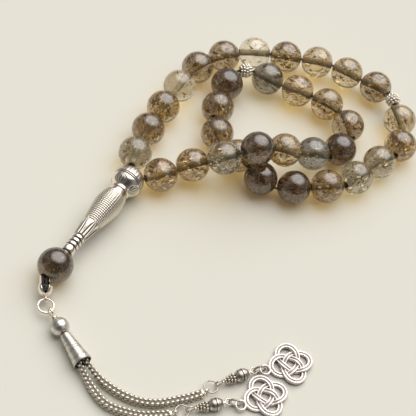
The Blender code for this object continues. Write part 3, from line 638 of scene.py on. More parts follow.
def mottle_group():
    """Cloudy veins and crackle of the stone."""
    found = bpy.data.node_groups.get("Stone mottle")
    if found:
        return found
    colour, number = "NodeSocketColor", "NodeSocketFloat"
    group, start, end = new_group(
        "Stone mottle",
        [("Stone", colour, (0.6, 0.5, 0.35, 1)), ("Vein", colour, (0.3, 0.2, 0.1, 1)),
         ("Clouds", number, 260.0), ("Amount", number, 0.6)],
        [("Color", colour), ("Crackle", number)])
    place = group.nodes.new("ShaderNodeTexCoord").outputs["Object"]
    cloud = shader_nodes(group, "ShaderNodeTexNoise", Detail=6.0, Roughness=0.62, Distortion=0.8)
    group.links.new(place, cloud.inputs["Vector"])
    group.links.new(start.outputs["Clouds"], cloud.inputs["Scale"])
    patch = ramp(group, cloud.outputs["Fac"], [(0.40, 0.0), (0.66, 1.0)])
    cells = shader_nodes(group, "ShaderNodeTexVoronoi", Scale=900.0)
    cells.feature = "DISTANCE_TO_EDGE"
    group.links.new(place, cells.inputs["Vector"])
    crack = ramp(group, cells.outputs["Distance"], [(0.0, 1.0), (0.09, 0.0)])
    share = math_node(group, "MAXIMUM", patch, math_node(group, "MULTIPLY", crack, 0.5))
    share = math_node(group, "MULTIPLY", share, start.outputs["Amount"], True)
    group.links.new(mix_colour(group, share, start.outputs["Stone"], start.outputs["Vein"]),
                    end.inputs["Color"])
    group.links.new(crack, end.inputs["Crackle"])
    return group


def place_group(tree, group, **values):
    """Put a group into a material with its own values."""
    made = tree.nodes.new("ShaderNodeGroup")
    made.node_tree = group
    for name, value in values.items():
        made.inputs[name].default_value = value
    return made


def new_material(name):
    """Material with its shader node."""
    made = bpy.data.materials.new(name)
    made.use_nodes = True
    return made, made.node_tree, made.node_tree.nodes["Principled BSDF"]


def opaque(colour):
    """Colour with full alpha."""
    return (*colour, 1.0)


def mottled(name, colour, vein, clouds, amount, rough):
    """Material mottled with veins; returns it with its tree, shader and mottle node."""
    made, tree, shader = new_material(name)
    mottle = place_group(tree, mottle_group(), Stone=opaque(colour), Vein=opaque(vein),
                         Clouds=clouds, Amount=amount)
    tree.links.new(mottle.outputs["Color"], shader.inputs["Base Color"])
    shader.inputs["Roughness"].default_value = rough
    return made, tree, shader, mottle


def bump(tree, shader, height, strength, distance):
    """Bump a shader's normal by a height."""
    made = shader_nodes(tree, "ShaderNodeBump", Strength=strength, Distance=distance)
    tree.links.new(height, made.inputs["Height"])
    tree.links.new(made.outputs[0], shader.inputs["Normal"])


def silver(name, tone, gloss, scuff, dark, hairlines=0.0):
    """Silver finish with tarnish and painted shade in its hollows and, where wanted, turned
    hairlines.
    """
    found = bpy.data.materials.get(name)
    if found:
        return found
    made, tree, shader = new_material(name)
    tones = bpy.context.scene.misbaha_silver
    colour = getattr(tones, tone)
    shader.inputs["Metallic"].default_value = 1.0
    # The tarnish colour also paints shade wherever the recess attribute marks it
    wear = place_group(tree, patina_and_shade_group(), Silver=opaque(colour), Tarnish=opaque(tones.tarnish),
                       Dark=dark, Gloss=gloss, Scuff=scuff)
    tree.links.new(wear.outputs["Roughness"], shader.inputs["Roughness"])
    worn_and_shaded = wear.outputs["Color"]
    if hairlines:
        lines = place_group(tree, hairline_group(), Lines=hairlines)
        bump(tree, shader, lines.outputs["Height"], strength=1.0, distance=0.4 * MM)
        faint = math_node(tree, "MULTIPLY", lines.outputs["Mask"], 0.6)
        worn_and_shaded = mix_colour(tree, faint, worn_and_shaded, opaque(tuple(0.45 * level for level in colour)))
    else:
        bump(tree, shader, wear.outputs["Height"], strength=0.25, distance=0.02 * MM)
    tree.links.new(worn_and_shaded, shader.inputs["Base Color"])
    return made


def polished_silver():
    """Polished silver of imame, dividers, rings, pins and connector beads."""
    return silver("chased_silver", "polished", gloss=0.10, scuff=0.10, dark=0.97)


def satin_silver():
    """Brushed silver of the tassel's ball and sleeve."""
    return silver("brushed_silver", "satin", gloss=0.22, scuff=0.12, dark=0.85, hairlines=1500.0)


def woven_silver():
    """Worn silver of the chains and the connectors' caps."""
    return silver("woven_silver", "woven", gloss=0.24, scuff=0.16, dark=0.78)


def cast_silver():
    """Cast silver of the charms."""
    return silver("cast_silver", "cast", gloss=0.34, scuff=0.16, dark=0.8)


def stone(tone):
    """Translucent stone of one tone, which lets tinted light through to what lies under it."""
    found = bpy.data.materials.get(f"crackled_{tone}")
    if found:
        return found
    colours = bpy.context.scene.misbaha_stone
    colour = tuple(getattr(colours, tone))
    vein = tuple(0.42 * level ** 1.2 for level in colour)
    made, tree, shader, mottle = mottled(f"crackled_{tone}", colour, vein, clouds=300.0,
                                         amount=0.35 if tone == "pale" else 0.75, rough=0.03)
    shader.inputs["IOR"].default_value = 1.52
    shader.inputs["Transmission Weight"].default_value = 1.0
    shader.inputs["Coat Weight"].default_value = 0.4
    shader.inputs["Coat IOR"].default_value = 2.5
    shader.inputs["Coat Roughness"].default_value = 0.12
    bump(tree, shader, mottle.outputs["Crackle"], strength=0.04, distance=0.04 * MM)
    clear = tree.nodes.new("ShaderNodeBsdfTransparent")
    amber = (1.0, 0.86, 0.50)
    glow = tuple(warm * level ** 0.22 for warm, level in zip(amber, colour))
    clear.inputs["Color"].default_value = opaque(glow)
    path = tree.nodes.new("ShaderNodeLightPath")
    mixed = tree.nodes.new("ShaderNodeMixShader")
    tree.links.new(path.outputs["Is Shadow Ray"], mixed.inputs[0])
    tree.links.new(shader.outputs[0], mixed.inputs[1])
    tree.links.new(clear.outputs[0], mixed.inputs[2])
    tree.links.new(mixed.outputs[0], tree.nodes["Material Output"].inputs["Surface"])
    return made


def fleck_finish(kind):
    """Crackle inside the stone: gold, brown, tan, clear or flash."""
    found = bpy.data.materials.get(f"{kind}_crackle")
    if found:
        return found
    colour = tuple(getattr(bpy.context.scene.misbaha_stone, f"{kind}_fleck"))
    vein = tuple(0.5 * level ** 1.25 for level in colour)
    made, _, shader, _ = mottled(f"{kind}_crackle", colour, vein, clouds=900.0, amount=0.9,
                                 rough=0.25)
    shader.inputs["Metallic"].default_value = 1.0 if kind == "flash" else 0.0
    return made


def bore_finish():
    """Rough wall of a drilled bore."""
    found = bpy.data.materials.get("drilled_wall")
    if found:
        return found
    colour = tuple(bpy.context.scene.misbaha_stone.bore)
    vein = tuple(0.6 * level for level in colour)
    return mottled("drilled_wall", colour, vein, clouds=800.0, amount=0.7, rough=0.85)[0]


def cord_finish():
    """Dark waxed thread."""
    found = bpy.data.materials.get("waxed_thread")
    if found:
        return found
    colour = tuple(bpy.context.scene.misbaha_stone.cord)
    vein = tuple(0.5 * level for level in colour)
    made, tree, shader, mottle = mottled("waxed_thread", colour, vein, clouds=1500.0, amount=0.8,
                                         rough=0.8)
    bump(tree, shader, mottle.outputs["Crackle"], strength=0.3, distance=0.03 * MM)
    return made


def strand_order():
    """Names of beads and dividers in stringing order."""
    names = [name[:-5] for name in JOINTS if name.startswith(("bead_", "divider_"))]
    beads = sorted(name for name in names if name.startswith("bead_"))
    order = []
    for index, bead in enumerate(beads, 1):
        order.append(bead)
        divider = f"divider_{index // BEADS_PER_GROUP}"
        if index % BEADS_PER_GROUP == 0 and divider in names:
            order.append(divider)
    return order


def head_place():
    """Middle of the imame head and the way of the imame."""
    imame = bpy.context.scene.misbaha_imame
    axis = way("imame_body_turn")
    return spot("imame_body_turn") - axis * (imame.seat + imame.seat_gap), axis


def cover_place():
    """Middle and way of the knot cover, from its hook."""
    tassel = bpy.context.scene.misbaha_tassel
    axis = heading(COVER_HEADING, COVER_SLOPE)
    return spot("jump_ring_swing") - axis * (tassel.cover / 2 + tassel.hook), axis


def tassel_place():
    """Middle of the tassel's eye and its heading."""
    tassel = bpy.context.scene.misbaha_tassel
    along = heading(TASSEL_HEADING)
    slack = tassel.eye - tassel.eye_wire / 2 - tassel.jump_wire / 2 - tassel.play
    eye = spot("tassel_swing") + along * slack * EYE_SLIP
    eye.z = tassel.sleeve_mouth
    return eye, along


class MISBAHA_OT_stage(bpy.types.Operator):
    """Lay the floor, light the room and set the camera"""
    bl_idname = "misbaha.stage"
    bl_label = "Stage"

    def execute(self, context):
        scene, stage = context.scene, context.scene.misbaha_stage
        scene.view_settings.view_transform = "Standard"
        head, _ = head_place()
        down, lean = stage.elevation, stage.roll
        right = Vector((1, 0, 0))
        below = Vector((0, -math.sin(down), -math.cos(down)))
        ahead = Vector((0, math.cos(down), -math.sin(down)))
        across = right * math.cos(lean) - below * math.sin(lean)
        under = right * math.sin(lean) + below * math.cos(lean)
        lens = bpy.data.cameras.new("camera")
        lens.angle = stage.field
        lens.clip_start = 0.01
        camera = bpy.data.objects.new("camera", lens)
        turn = Matrix((across, -under, -ahead)).transposed().to_4x4()
        eye = Vector((head.x + stage.camera_side, head.y - stage.camera_back, stage.camera_height))
        camera.matrix_world = Matrix.Translation(eye) @ turn
        scene.collection.objects.link(camera)
        scene.camera = camera
        self.floor(scene, stage)
        self.light(scene, stage)
        return {"FINISHED"}

    def floor(self, scene, stage):
        """Wide plain pale floor."""
        mesh = bmesh.new()
        bmesh.ops.create_grid(mesh, x_segments=4, y_segments=4, size=3.0)
        data = bpy.data.meshes.new("floor")
        mesh.to_mesh(data)
        mesh.free()
        made, _, shader = new_material("floor")
        shader.inputs["Base Color"].default_value = opaque(stage.floor)
        shader.inputs["Roughness"].default_value = 0.75
        data.materials.append(made)
        floor = bpy.data.objects.new("floor", data)
        scene.collection.objects.link(floor)

    def light(self, scene, stage):
        """Soft room light with a wide window high behind and a dimmer room before the piece."""
        world = bpy.data.worlds.new("room")
        scene.world = world
        world.use_nodes = True
        tree = world.node_tree
        place = tree.nodes.new("ShaderNodeTexCoord").outputs["Generated"]
        window = self.patch(tree, place, *WINDOW)
        dim = self.patch(tree, place, *DIM_SIDE)
        split = tree.nodes.new("ShaderNodeSeparateXYZ")
        tree.links.new(place, split.inputs[0])
        room = ramp(tree, split.outputs["Z"], ROOM_LEVELS)
        shade = math_node(tree, "MULTIPLY", dim, -stage.dim)
        room = math_node(tree, "MULTIPLY", room, math_node(tree, "ADD", shade, 1.0))
        level = math_node(tree, "ADD", room, math_node(tree, "MULTIPLY", window, stage.window))
        sky = tree.nodes["Background"]
        sky.inputs["Color"].default_value = opaque(stage.room)
        tree.links.new(level, sky.inputs["Strength"])

    def patch(self, tree, place, toward, outer, inner):
        """Soft round patch of the room in one direction, between two half angles."""
        near = tree.nodes.new("ShaderNodeVectorMath")
        near.operation = "DOT_PRODUCT"
        tree.links.new(place, near.inputs[0])
        near.inputs[1].default_value = Vector(toward).normalized()
        soft = tree.nodes.new("ShaderNodeMapRange")
        soft.interpolation_type = "SMOOTHSTEP"
        tree.links.new(near.outputs["Value"], soft.inputs["Value"])
        soft.inputs["From Min"].default_value = math.cos(math.radians(outer))
        soft.inputs["From Max"].default_value = math.cos(math.radians(inner))
        return soft.outputs["Result"]


class MISBAHA_OT_cord(bpy.types.Operator):
    """String the cord through every bead and tie its knot"""
    bl_idname = "misbaha.cord"
    bl_label = "Cord and knot"

    def execute(self, context):
        strand = context.scene.misbaha_strand
        head, axis = head_place()
        cover, cover_axis = cover_place()
        side = Vector((axis.y, -axis.x, 0))
        tail_half = math.sqrt((strand.bead / 2) ** 2 - (strand.tail_bore / 2) ** 2)
        tail_exit = spot("tail_bead_turn") + axis * tail_half
        offset = (strand.cord + strand.pair_gap) / 2
        tassel = context.scene.misbaha_tassel
        knot = tassel.cover / 2 - tassel.cover_wall - SEAT_GAP

        def run_in(shift):
            across = frame_along(cover_axis) @ Vector((0, shift, 0))
            bottom, top = tail_exit + side * shift, head + axis * strand.cord + side * shift
            straight = [bottom.lerp(top, share) for share in (0.0, 0.08, 0.3, 0.6, 0.92, 1.0)]
            return [cover + cover_axis * knot / 2 + across] + straight

        centres, mouths_in, mouths_out = [], [], []
        for name in strand_order():
            radius = (strand.divider if name.startswith("divider") else strand.bead) / 2
            half = math.sqrt(radius ** 2 - (strand.bore / 2) ** 2)
            centre, along = spot(f"{name}_turn"), way(f"{name}_turn")
            centres.append(centre)
            mouths_in.append(centre - along * half)
            mouths_out.append(centre + along * half)
        points = run_in(offset) + [mouths_in[0]]
        for centre, before, after in zip(centres, mouths_out, mouths_in[1:] + mouths_out[-1:]):
            points += [centre, (before + after) / 2]
        points += reversed(run_in(-offset))
        path, _ = evenly(smooth_path(points, steps=16), CORD_PITCH)
        twist = TAU / (PLIES * PLY_LAY)
        thread = tube(path, strand.cord / 2, sides=12, lobes=PLIES,
                      lobe_depth=0.22 * strand.cord / 2, twist=twist)
        Shape().add(thread).piece("cord_strung", [cord_finish()], "strand", "cord_thread", "cord")
        shape = Shape()
        turn = frame_along(cover_axis)
        laps, steps, thin = 3, 48, strand.cord * 0.42
        for lap in range(laps):
            wrap = []
            for step in range(steps + 1):
                angle = TAU * step / steps
                tip = 0.5 * math.sin(angle + lap * TAU / laps)
                reach = Vector((math.cos(angle), math.sin(angle), tip)).normalized()
                wrap.append(Vector(reach * (knot - thin)))
            shape.add(tube(wrap, thin, sides=10, lobes=PLIES, lobe_depth=0.05 * strand.cord,
                           twist=twist), cover, turn)
        shape.add(ball(knot - strand.cord * 0.45, fineness=3), cover, turn)
        shape.piece("cord_knot_tied", [cord_finish()], "strand", "cord_thread", "cord_knot")
        return {"FINISHED"}


class MISBAHA_OT_beads(bpy.types.Operator):
    """Turn the stone beads and lay their crackle"""
    bl_idname = "misbaha.beads"
    bl_label = "Stone beads"

    def execute(self, context):
        strand = context.scene.misbaha_strand
        draw = random.Random(CRACKLE_SEED)
        tones = {number: tone for tone, numbers in STONE_TONES.items() for number in numbers}
        bead = drilled_ball(strand.bead / 2, strand.bore / 2, BEAD_BANDS, BEAD_SIDES, strand.flare)
        for name in strand_order():
            if not name.startswith("bead_"):
                continue
            tone = tones.get(int(name[-2:]), "smoky")
            self.lay(name, tone, bead, strand, draw, strand.bore / 2)
        tail = drilled_ball(strand.bead / 2, strand.tail_bore / 2, BEAD_BANDS, BEAD_SIDES)
        self.lay("tail_bead", "dark", tail, strand, draw, strand.tail_bore / 2)
        return {"FINISHED"}

    def lay(self, name, tone, bead, strand, draw, bore):
        """One bead with the crackle inside it."""
        centre, turn = spot(f"{name}_turn"), frame_along(way(f"{name}_turn"))
        slot, share = TONES[tone]
        Shape().add(bead, centre, turn, bore_faces(BEAD_BANDS, BEAD_SIDES)).piece(
            f"{name}_stone", [stone(tone), bore_finish()], name, slot, name)
        crackle = Shape()
        reach = strand.bead / 2 - CLEAR_SKIN
        cracks = [(self.any_way(draw), draw.uniform(-0.55, 0.55) * reach) for _ in range(CRACKS)]
        laid, wanted = 0, round(strand.flecks * share)
        while laid < wanted:
            place = Vector((draw.uniform(-1, 1), draw.uniform(-1, 1), draw.uniform(-1, 1))) * reach
            lies = self.any_way(draw)
            if draw.random() < CRACK_SHARE:
                normal, depth = cracks[draw.randrange(len(cracks))]
                place += normal * (depth + draw.gauss(0, CRACK_SCATTER) - place.dot(normal))
                lies = (normal + 0.5 * lies).normalized()
            length = strand.fleck * draw.uniform(0.45, 1.5)
            near_skin = draw.random() < SKIN_SHARES[slot]
            if near_skin:
                length *= 0.75
                place = self.any_way(draw) * (reach - draw.uniform(0.1, 0.5) * MM)
                lies = (place.normalized() + 0.2 * lies).normalized()
            # Painted light: towards the side where light focused through the bead would gather,
            # flecks are more often bright gold than shaded brown, and more often flashes
            golden = (turn @ place).dot(FOCUSED_LIGHT_SIDE) / reach
            kind = BRIGHT if draw.random() < BRIGHT_SHARE + BRIGHT_GAIN * golden else SHADED
            if not near_skin and draw.random() < FLASH_SHARE + FLASH_GAIN * golden:
                kind, length = FLASH, strand.fleck * draw.uniform(0.9, 1.7)
                lies = (turn.transposed() @ UP + 0.4 * self.any_way(draw)).normalized()
            wall = bore + strand.flare * (place.z / reach) ** 2
            if math.hypot(place.x, place.y) - length / 2 < wall:
                continue
            if not near_skin and place.length + length / 2 > reach:
                continue
            crackle.add(self.fleck(draw, length), centre + turn @ place,
                        turn @ frame_along(lies), kind)
            laid += 1
        shine = "clear" if tone in ("pale", "grey") else "gold"
        shade = "tan" if tone in ("pale", "honey", "grey") else "brown"
        finishes = [fleck_finish(kind) for kind in (shine, shade, "flash")]
        crackle.piece(f"{name}_crackle", finishes, name, slot, smooth=False)

    def any_way(self, draw):
        """Unit vector in any direction."""
        return Vector((draw.gauss(0, 1), draw.gauss(0, 1), draw.gauss(0, 1))).normalized()

    def fleck(self, draw, length):
        """Thin closed splinter with four uneven corners."""
        thin = 0.05 * length
        wide = length * draw.uniform(0.3, 0.75)
        lean = length * draw.uniform(-0.25, 0.25)
        spots = [(-length / 2, lean / 2, thin), (lean, -wide / 2, -thin),
                 (length / 2, -lean / 2, thin), (-lean, wide / 2, -thin)]
        return np.array(spots), [(0, 1, 2), (0, 2, 3), (0, 3, 1), (1, 3, 2)], np.zeros(4)


class MISBAHA_OT_dividers(bpy.types.Operator):
    """Make the two dividers with their rows of grains"""
    bl_idname = "misbaha.dividers"
    bl_label = "Dividers"

    def execute(self, context):
        strand = context.scene.misbaha_strand
        grain = ball(strand.grain / 2, fineness=3)
        core = (strand.divider - strand.grain) / 2
        for name in ("divider_1", "divider_2"):
            centre, turn = spot(f"{name}_turn"), frame_along(way(f"{name}_turn"))
            shape = Shape()
            drilled = drilled_ball(core, strand.bore / 2, bands=20, sides=32)
            shape.add(drilled, centre, turn, recess=CORE_DULL)
            for row, latitude in enumerate(GRAIN_LATITUDES):
                tilt = math.radians(latitude)
                level = math.cos(tilt)
                grains = max(5, round(TAU * core * level / (GRAIN_PITCH * strand.grain)))
                for place in range(grains):
                    angle = TAU * (place + 0.5 * (row % 2)) / grains
                    out = Vector((level * math.cos(angle), level * math.sin(angle), math.sin(tilt)))
                    shape.add(grain, centre + turn @ (out * core), turn)
            shape.piece(f"{name}_granulated", [polished_silver()], name, "satin_silver", name)
        return {"FINISHED"}


def chased_line(share, place, width):
    """Rise of one chased line where share passes place."""
    return np.exp(-((share - place) / width) ** 2)


# Hatching of the imame's head, in degrees from its top: start, end, pitch of the round lines and
# number of the lines that cross them; then place and width of its two ring lines
HATCH_TOP, HATCH_FOOT, HATCH_PITCH, HATCH_LINES = 34, 86, 10.5, 24
RING_LINES = ((89.0, 2.6), (97.0, 2.2))
# Leaves of the head: middle and half length as shares of its radius, half width, and place and
# width of the lines across half a leaf
LEAF_MIDDLE, LEAF_HALF, LEAF_WIDTH = 0.52, 0.32, 1.55 * MM
LEAF_LINES = ((1.1, 0.17), (0.58, 0.14), (0.0, 0.14))
HEAD_ROWS, HEAD_SIDES = 150, 160


class MISBAHA_OT_imame_head(bpy.types.Operator):
    """Turn the imame's head with its line grooves and leaves"""
    bl_idname = "misbaha.imame_head"
    bl_label = "Imame head"

    def execute(self, context):
        imame = context.scene.misbaha_imame
        head, axis = head_place()
        radius = imame.head / 2
        seat = math.acos(imame.seat / radius)
        outline = [(ON_AXIS, imame.seat)]
        for row in range(HEAD_ROWS + 1):
            angle = seat + (math.pi - 0.002 - seat) * row / HEAD_ROWS
            outline.append((radius * math.sin(angle), radius * math.cos(angle)))

        def relief(reach, height, angle):
            level = np.clip(height / radius, -1, 1)
            polar = np.degrees(np.arccos(-level))
            hatched = (polar > HATCH_TOP) & (polar < HATCH_FOOT)
            crossing = chased_line((angle / TAU * HATCH_LINES) % 1, 0.5, 0.16)
            rounds = chased_line((polar / HATCH_PITCH) % 1, 0.5, 0.18)
            cut = 0.55 * hatched * np.maximum(rounds, crossing)
            for place, width in RING_LINES:
                cut = cut + chased_line(polar, place, width)
            t = (level - LEAF_MIDDLE) / LEAF_HALF
            wide = LEAF_WIDTH * np.clip(1 - t ** 2, 0, 1)
            across = ((angle - imame.leaf_turn) / TAU * imame.leaves % 1 - 0.5) * TAU / imame.leaves
            share = np.abs(across) * reach / np.maximum(wide, 0.02 * MM)
            leaf = (np.abs(t) < 1) & (share < 1.3) & (reach > 0.3 * radius)
            lines = leaf * sum(chased_line(share, *line) for line in LEAF_LINES)
            lift = imame.chasing * (0.8 * leaf * (share < 1.05) - 1.5 * np.clip(cut + lines, 0, 1))
            return lift, np.clip(cut + lines, 0, 1)

        form = turned(outline, HEAD_SIDES, relief)
        Shape().add(form, head, frame_along(axis)).piece(
            "imame_head_chased", [polished_silver()], "strand", "polished_silver", "imame_head")
        return {"FINISHED"}


# Place and width of a petal's edge and vein across half a petal, how far a petal reaches over
# the ridges, and depth of its ground
PETAL_LINES = ((0.88, 0.18), (0.10, 0.20))
PETAL_REACH, PETAL_GROUND = 0.9 * MM, 0.05 * MM
BODY_ROWS, BODY_SIDES = 250, 216


class MISBAHA_OT_imame_body(bpy.types.Operator):
    """Turn the imame's body with ridges, lancet petals, rings and end bead"""
    bl_idname = "misbaha.imame_body"
    bl_label = "Imame body"

    def execute(self, context):
        imame, strand = context.scene.misbaha_imame, context.scene.misbaha_strand
        axis = way("imame_body_turn")
        outline = self.outline(imame)
        bore = strand.tail_bore / 2
        outline += [(bore, outline[-1][1]), (bore, 0.0)]
        at = imame.collar + imame.neck
        ridges = at + 0.3 * imame.shoulder
        belly = at + imame.shoulder
        foot = belly + imame.taper
        ridge_end = ridges + imame.ridged + 0.4 * imame.shoulder
        petal_tip = ridge_end - PETAL_REACH

        def relief(reach, height, angle):
            outer = reach > bore * 1.05
            t = (foot - height) / (foot - petal_tip)
            around = ((angle / TAU * imame.petals) % 1 - 0.5) * TAU / imame.petals
            wide = 0.95 * math.pi / imame.petals * (1 - np.clip(t, 0, 1) ** 2.4)
            share = np.abs(around) / np.maximum(wide, 0.01)
            inside = (t > 0) & (t < 1) & (share < 1.18) & outer
            rise = inside * sum(chased_line(share, *line) for line in PETAL_LINES)
            ridged = (height > ridges) & (height < ridge_end) & ~inside & outer
            turns = imame.ridges * (height - ridges) / (ridge_end - ridges)
            valley = ridged * chased_line(turns % 1, 0.5, 0.28)
            nick = ridged * (1 - valley) * (0.5 - 0.5 * np.cos(imame.grains * angle))
            ground = inside * np.clip(1.15 - rise, 0, 1) ** 1.2
            lift = imame.chasing * np.clip(rise, 0, 1) - imame.ridge_depth * (valley + 0.55 * nick)
            lift = lift - PETAL_GROUND * ground
            groove = ((height > foot) | (height < at)) & (reach < self.crest(imame, height)) & outer
            return lift * outer, np.clip(0.5 * valley + 0.1 * nick + ground + groove, 0, 1) * outer

        form = turned(outline, BODY_SIDES, relief)
        Shape().add(form, spot("imame_body_turn"), frame_along(axis)).piece(
            "imame_body_chased", [polished_silver()], "imame_body", "polished_silver", "imame_body")
        return {"FINISHED"}

    def crest(self, imame, height):
        """Radius below which a turned groove counts as dark."""
        return np.where(height < imame.collar + imame.neck, imame.neck_radius + 0.1 * MM,
                        imame.foot - 0.45 * imame.groove)

    def outline(self, imame):
        """Outline from collar to end bead as (radius, height)."""
        soft = 0.12 * MM
        outline = [(imame.collar_radius - soft, 0.0), (imame.collar_radius, soft),
                   (imame.collar_radius, imame.collar - soft),
                   (imame.collar_radius - soft, imame.collar), (imame.neck_radius, imame.collar)]
        at = imame.collar + imame.neck
        outline.append((imame.neck_radius, at - soft))
        belly, foot = at + imame.shoulder, at + imame.shoulder + imame.taper
        for height in np.linspace(at, foot, BODY_ROWS):
            if height < belly:
                share = (height - at) / imame.shoulder
                radius = imame.shoulder_radius + (imame.belly - imame.shoulder_radius) * math.sin(
                    share * math.pi / 2)
            else:
                share = (height - belly) / imame.taper
                fall = (share + (1 - math.cos(math.pi * share)) / 2) / 2
                radius = imame.belly + (imame.foot - imame.belly) * fall
            outline.append((radius, height))
        for ring in range(imame.rings):
            for step in range(12):
                share = (step + 0.5) / 12
                swell = math.sin(math.pi * min(1, max(0, (share - 0.12) / 0.88))) ** 0.45
                reach = imame.foot - imame.groove * (1 - swell)
                outline.append((reach, foot + (ring + share) * imame.ring))
        low = foot + imame.rings * imame.ring
        for step in range(17):
            share = step / 16
            swell = math.sin(math.pi * (0.06 + 0.88 * share)) ** 0.5
            reach = imame.end_radius - 2 * imame.groove * (1 - swell)
            outline.append((reach, low + share * imame.end_bead))
        return outline


# Gap between the knot cover's arms and the tail bead
ARM_GAP = 0.08 * MM


class MISBAHA_OT_knot_cover(bpy.types.Operator):
    """Make the open cover round the knot, with its hook"""
    bl_idname = "misbaha.knot_cover"
    bl_label = "Knot cover"

    def execute(self, context):
        tassel, strand = context.scene.misbaha_tassel, context.scene.misbaha_strand
        cover, axis = cover_place()
        turn = frame_along(axis)
        outer, mouth = tassel.cover / 2, tassel.cover_mouth / 2
        inner = outer - tassel.cover_wall
        outline, gaps = [], []
        tip, root = -(outer + tassel.cover_arms), -outer
        for radius, order in ((outer, 1), (inner, -1)):
            lip = mouth + radius - inner
            start = math.asin(min(0.99, 1.08 * lip / radius))
            root = max(root, -radius * math.cos(start))
            arc = [(lip, tip + 0.1 * step * tassel.cover_arms) for step in range(9)]
            for step in range(33):
                angle = start + (math.pi - start) * 0.97 * step / 32
                height = -radius * math.cos(angle)
                stretch = tassel.cover_taper if height > 0 else 1.0
                arc.append((radius * math.sin(angle), height * stretch))
            outline += arc[::order]
        for radius, height in outline:
            fade = min(1.0, max(0.0, (0.8 * outer - height) / (0.9 * outer)))
            half = tassel.cover_opening / 2 * fade
            gaps.append(math.asin(min(0.97, half / max(radius, half, 0.1 * MM))))

        # Painted shade: the inside of the cup takes the full dark of the tarnish colour
        def relief(reach, height, angle):
            stretch = np.where(height > 0, tassel.cover_taper, 1.0)
            inside = np.hypot(reach, height / stretch) < (inner + outer) / 2
            return np.zeros_like(reach), inside * 1.0

        spots, faces, hollow = turned(outline, sides=72, relief=relief, gaps=gaps)
        bead = turn.transposed() @ (spot("tail_bead_turn") - cover)
        room = strand.bead / 2 + ARM_GAP
        aside = (spots[:, 0] - bead.x) ** 2 + (spots[:, 1] - bead.y) ** 2
        limit = bead.z + np.sqrt(np.maximum(room ** 2 - aside, 0))
        # Arms end where the tail bead begins
        arms = spots[:, 2] < root
        share = np.clip((root - limit) / (root - tip), 0, 1)
        spots[arms, 2] = root + (spots[arms, 2] - root) * share[arms]
        shape = Shape()
        shape.add((spots, faces, hollow), cover, turn)
        shape.add(rod(tassel.hook_wire, inner - tassel.cover_wall, outer + tassel.hook_wire / 2,
                      bevel=0.05 * MM), cover, turn)
        shape.add(wire_ring(tassel.hook, tassel.hook_wire), cover + axis * (outer + tassel.hook),
                  frame_along(UP.cross(axis)))
        shape.piece("knot_cover_clamshell", [polished_silver()], "strand", "polished_silver",
                    "knot_cover")
        return {"FINISHED"}


# Where the slits of the jump ring and of the chain rings point
JUMP_SLIT_TURN, CHAIN_SLIT_TURN = math.radians(200), math.radians(120)


class MISBAHA_OT_rings(bpy.types.Operator):
    """Bend the jump ring and the small rings on the chains"""
    bl_idname = "misbaha.rings"
    bl_label = "Rings"

    def execute(self, context):
        tassel = context.scene.misbaha_tassel
        jump = wire_ring(tassel.jump_ring, tassel.jump_wire, turns=96, sides=20, slit=RING_SLIT)
        self.bend("jump_ring", jump, Matrix.Rotation(JUMP_SLIT_TURN, 3, "Z"), dull=0.1)
        for letter, headings in PENDANT_HEADINGS.items():
            ring = wire_ring(tassel.chain_ring, 0.75 * tassel.ring_wire, turns=80, sides=16,
                             slit=RING_SLIT)
            slit_turn = Matrix.Rotation(CHAIN_SLIT_TURN, 3, "Z")
            self.bend(f"chain_ring_{letter}", ring, slit_turn, dull=0.5)
            link = wire_ring(tassel.charm_ring, tassel.ring_wire, turns=80, sides=16,
                             slit=RING_SLIT)
            across = frame_along(UP.cross(heading(headings[2])))
            self.bend(f"charm_ring_{letter}", link, across, dull=0.5)
        return {"FINISHED"}

    def bend(self, node, form, turn, dull):
        """One ring in place of its node, more or less dulled by wear."""
        Shape().add(form, middle(node), turn, recess=dull).piece(
            f"{node}_wire", [polished_silver()], node, "polished_silver", node)


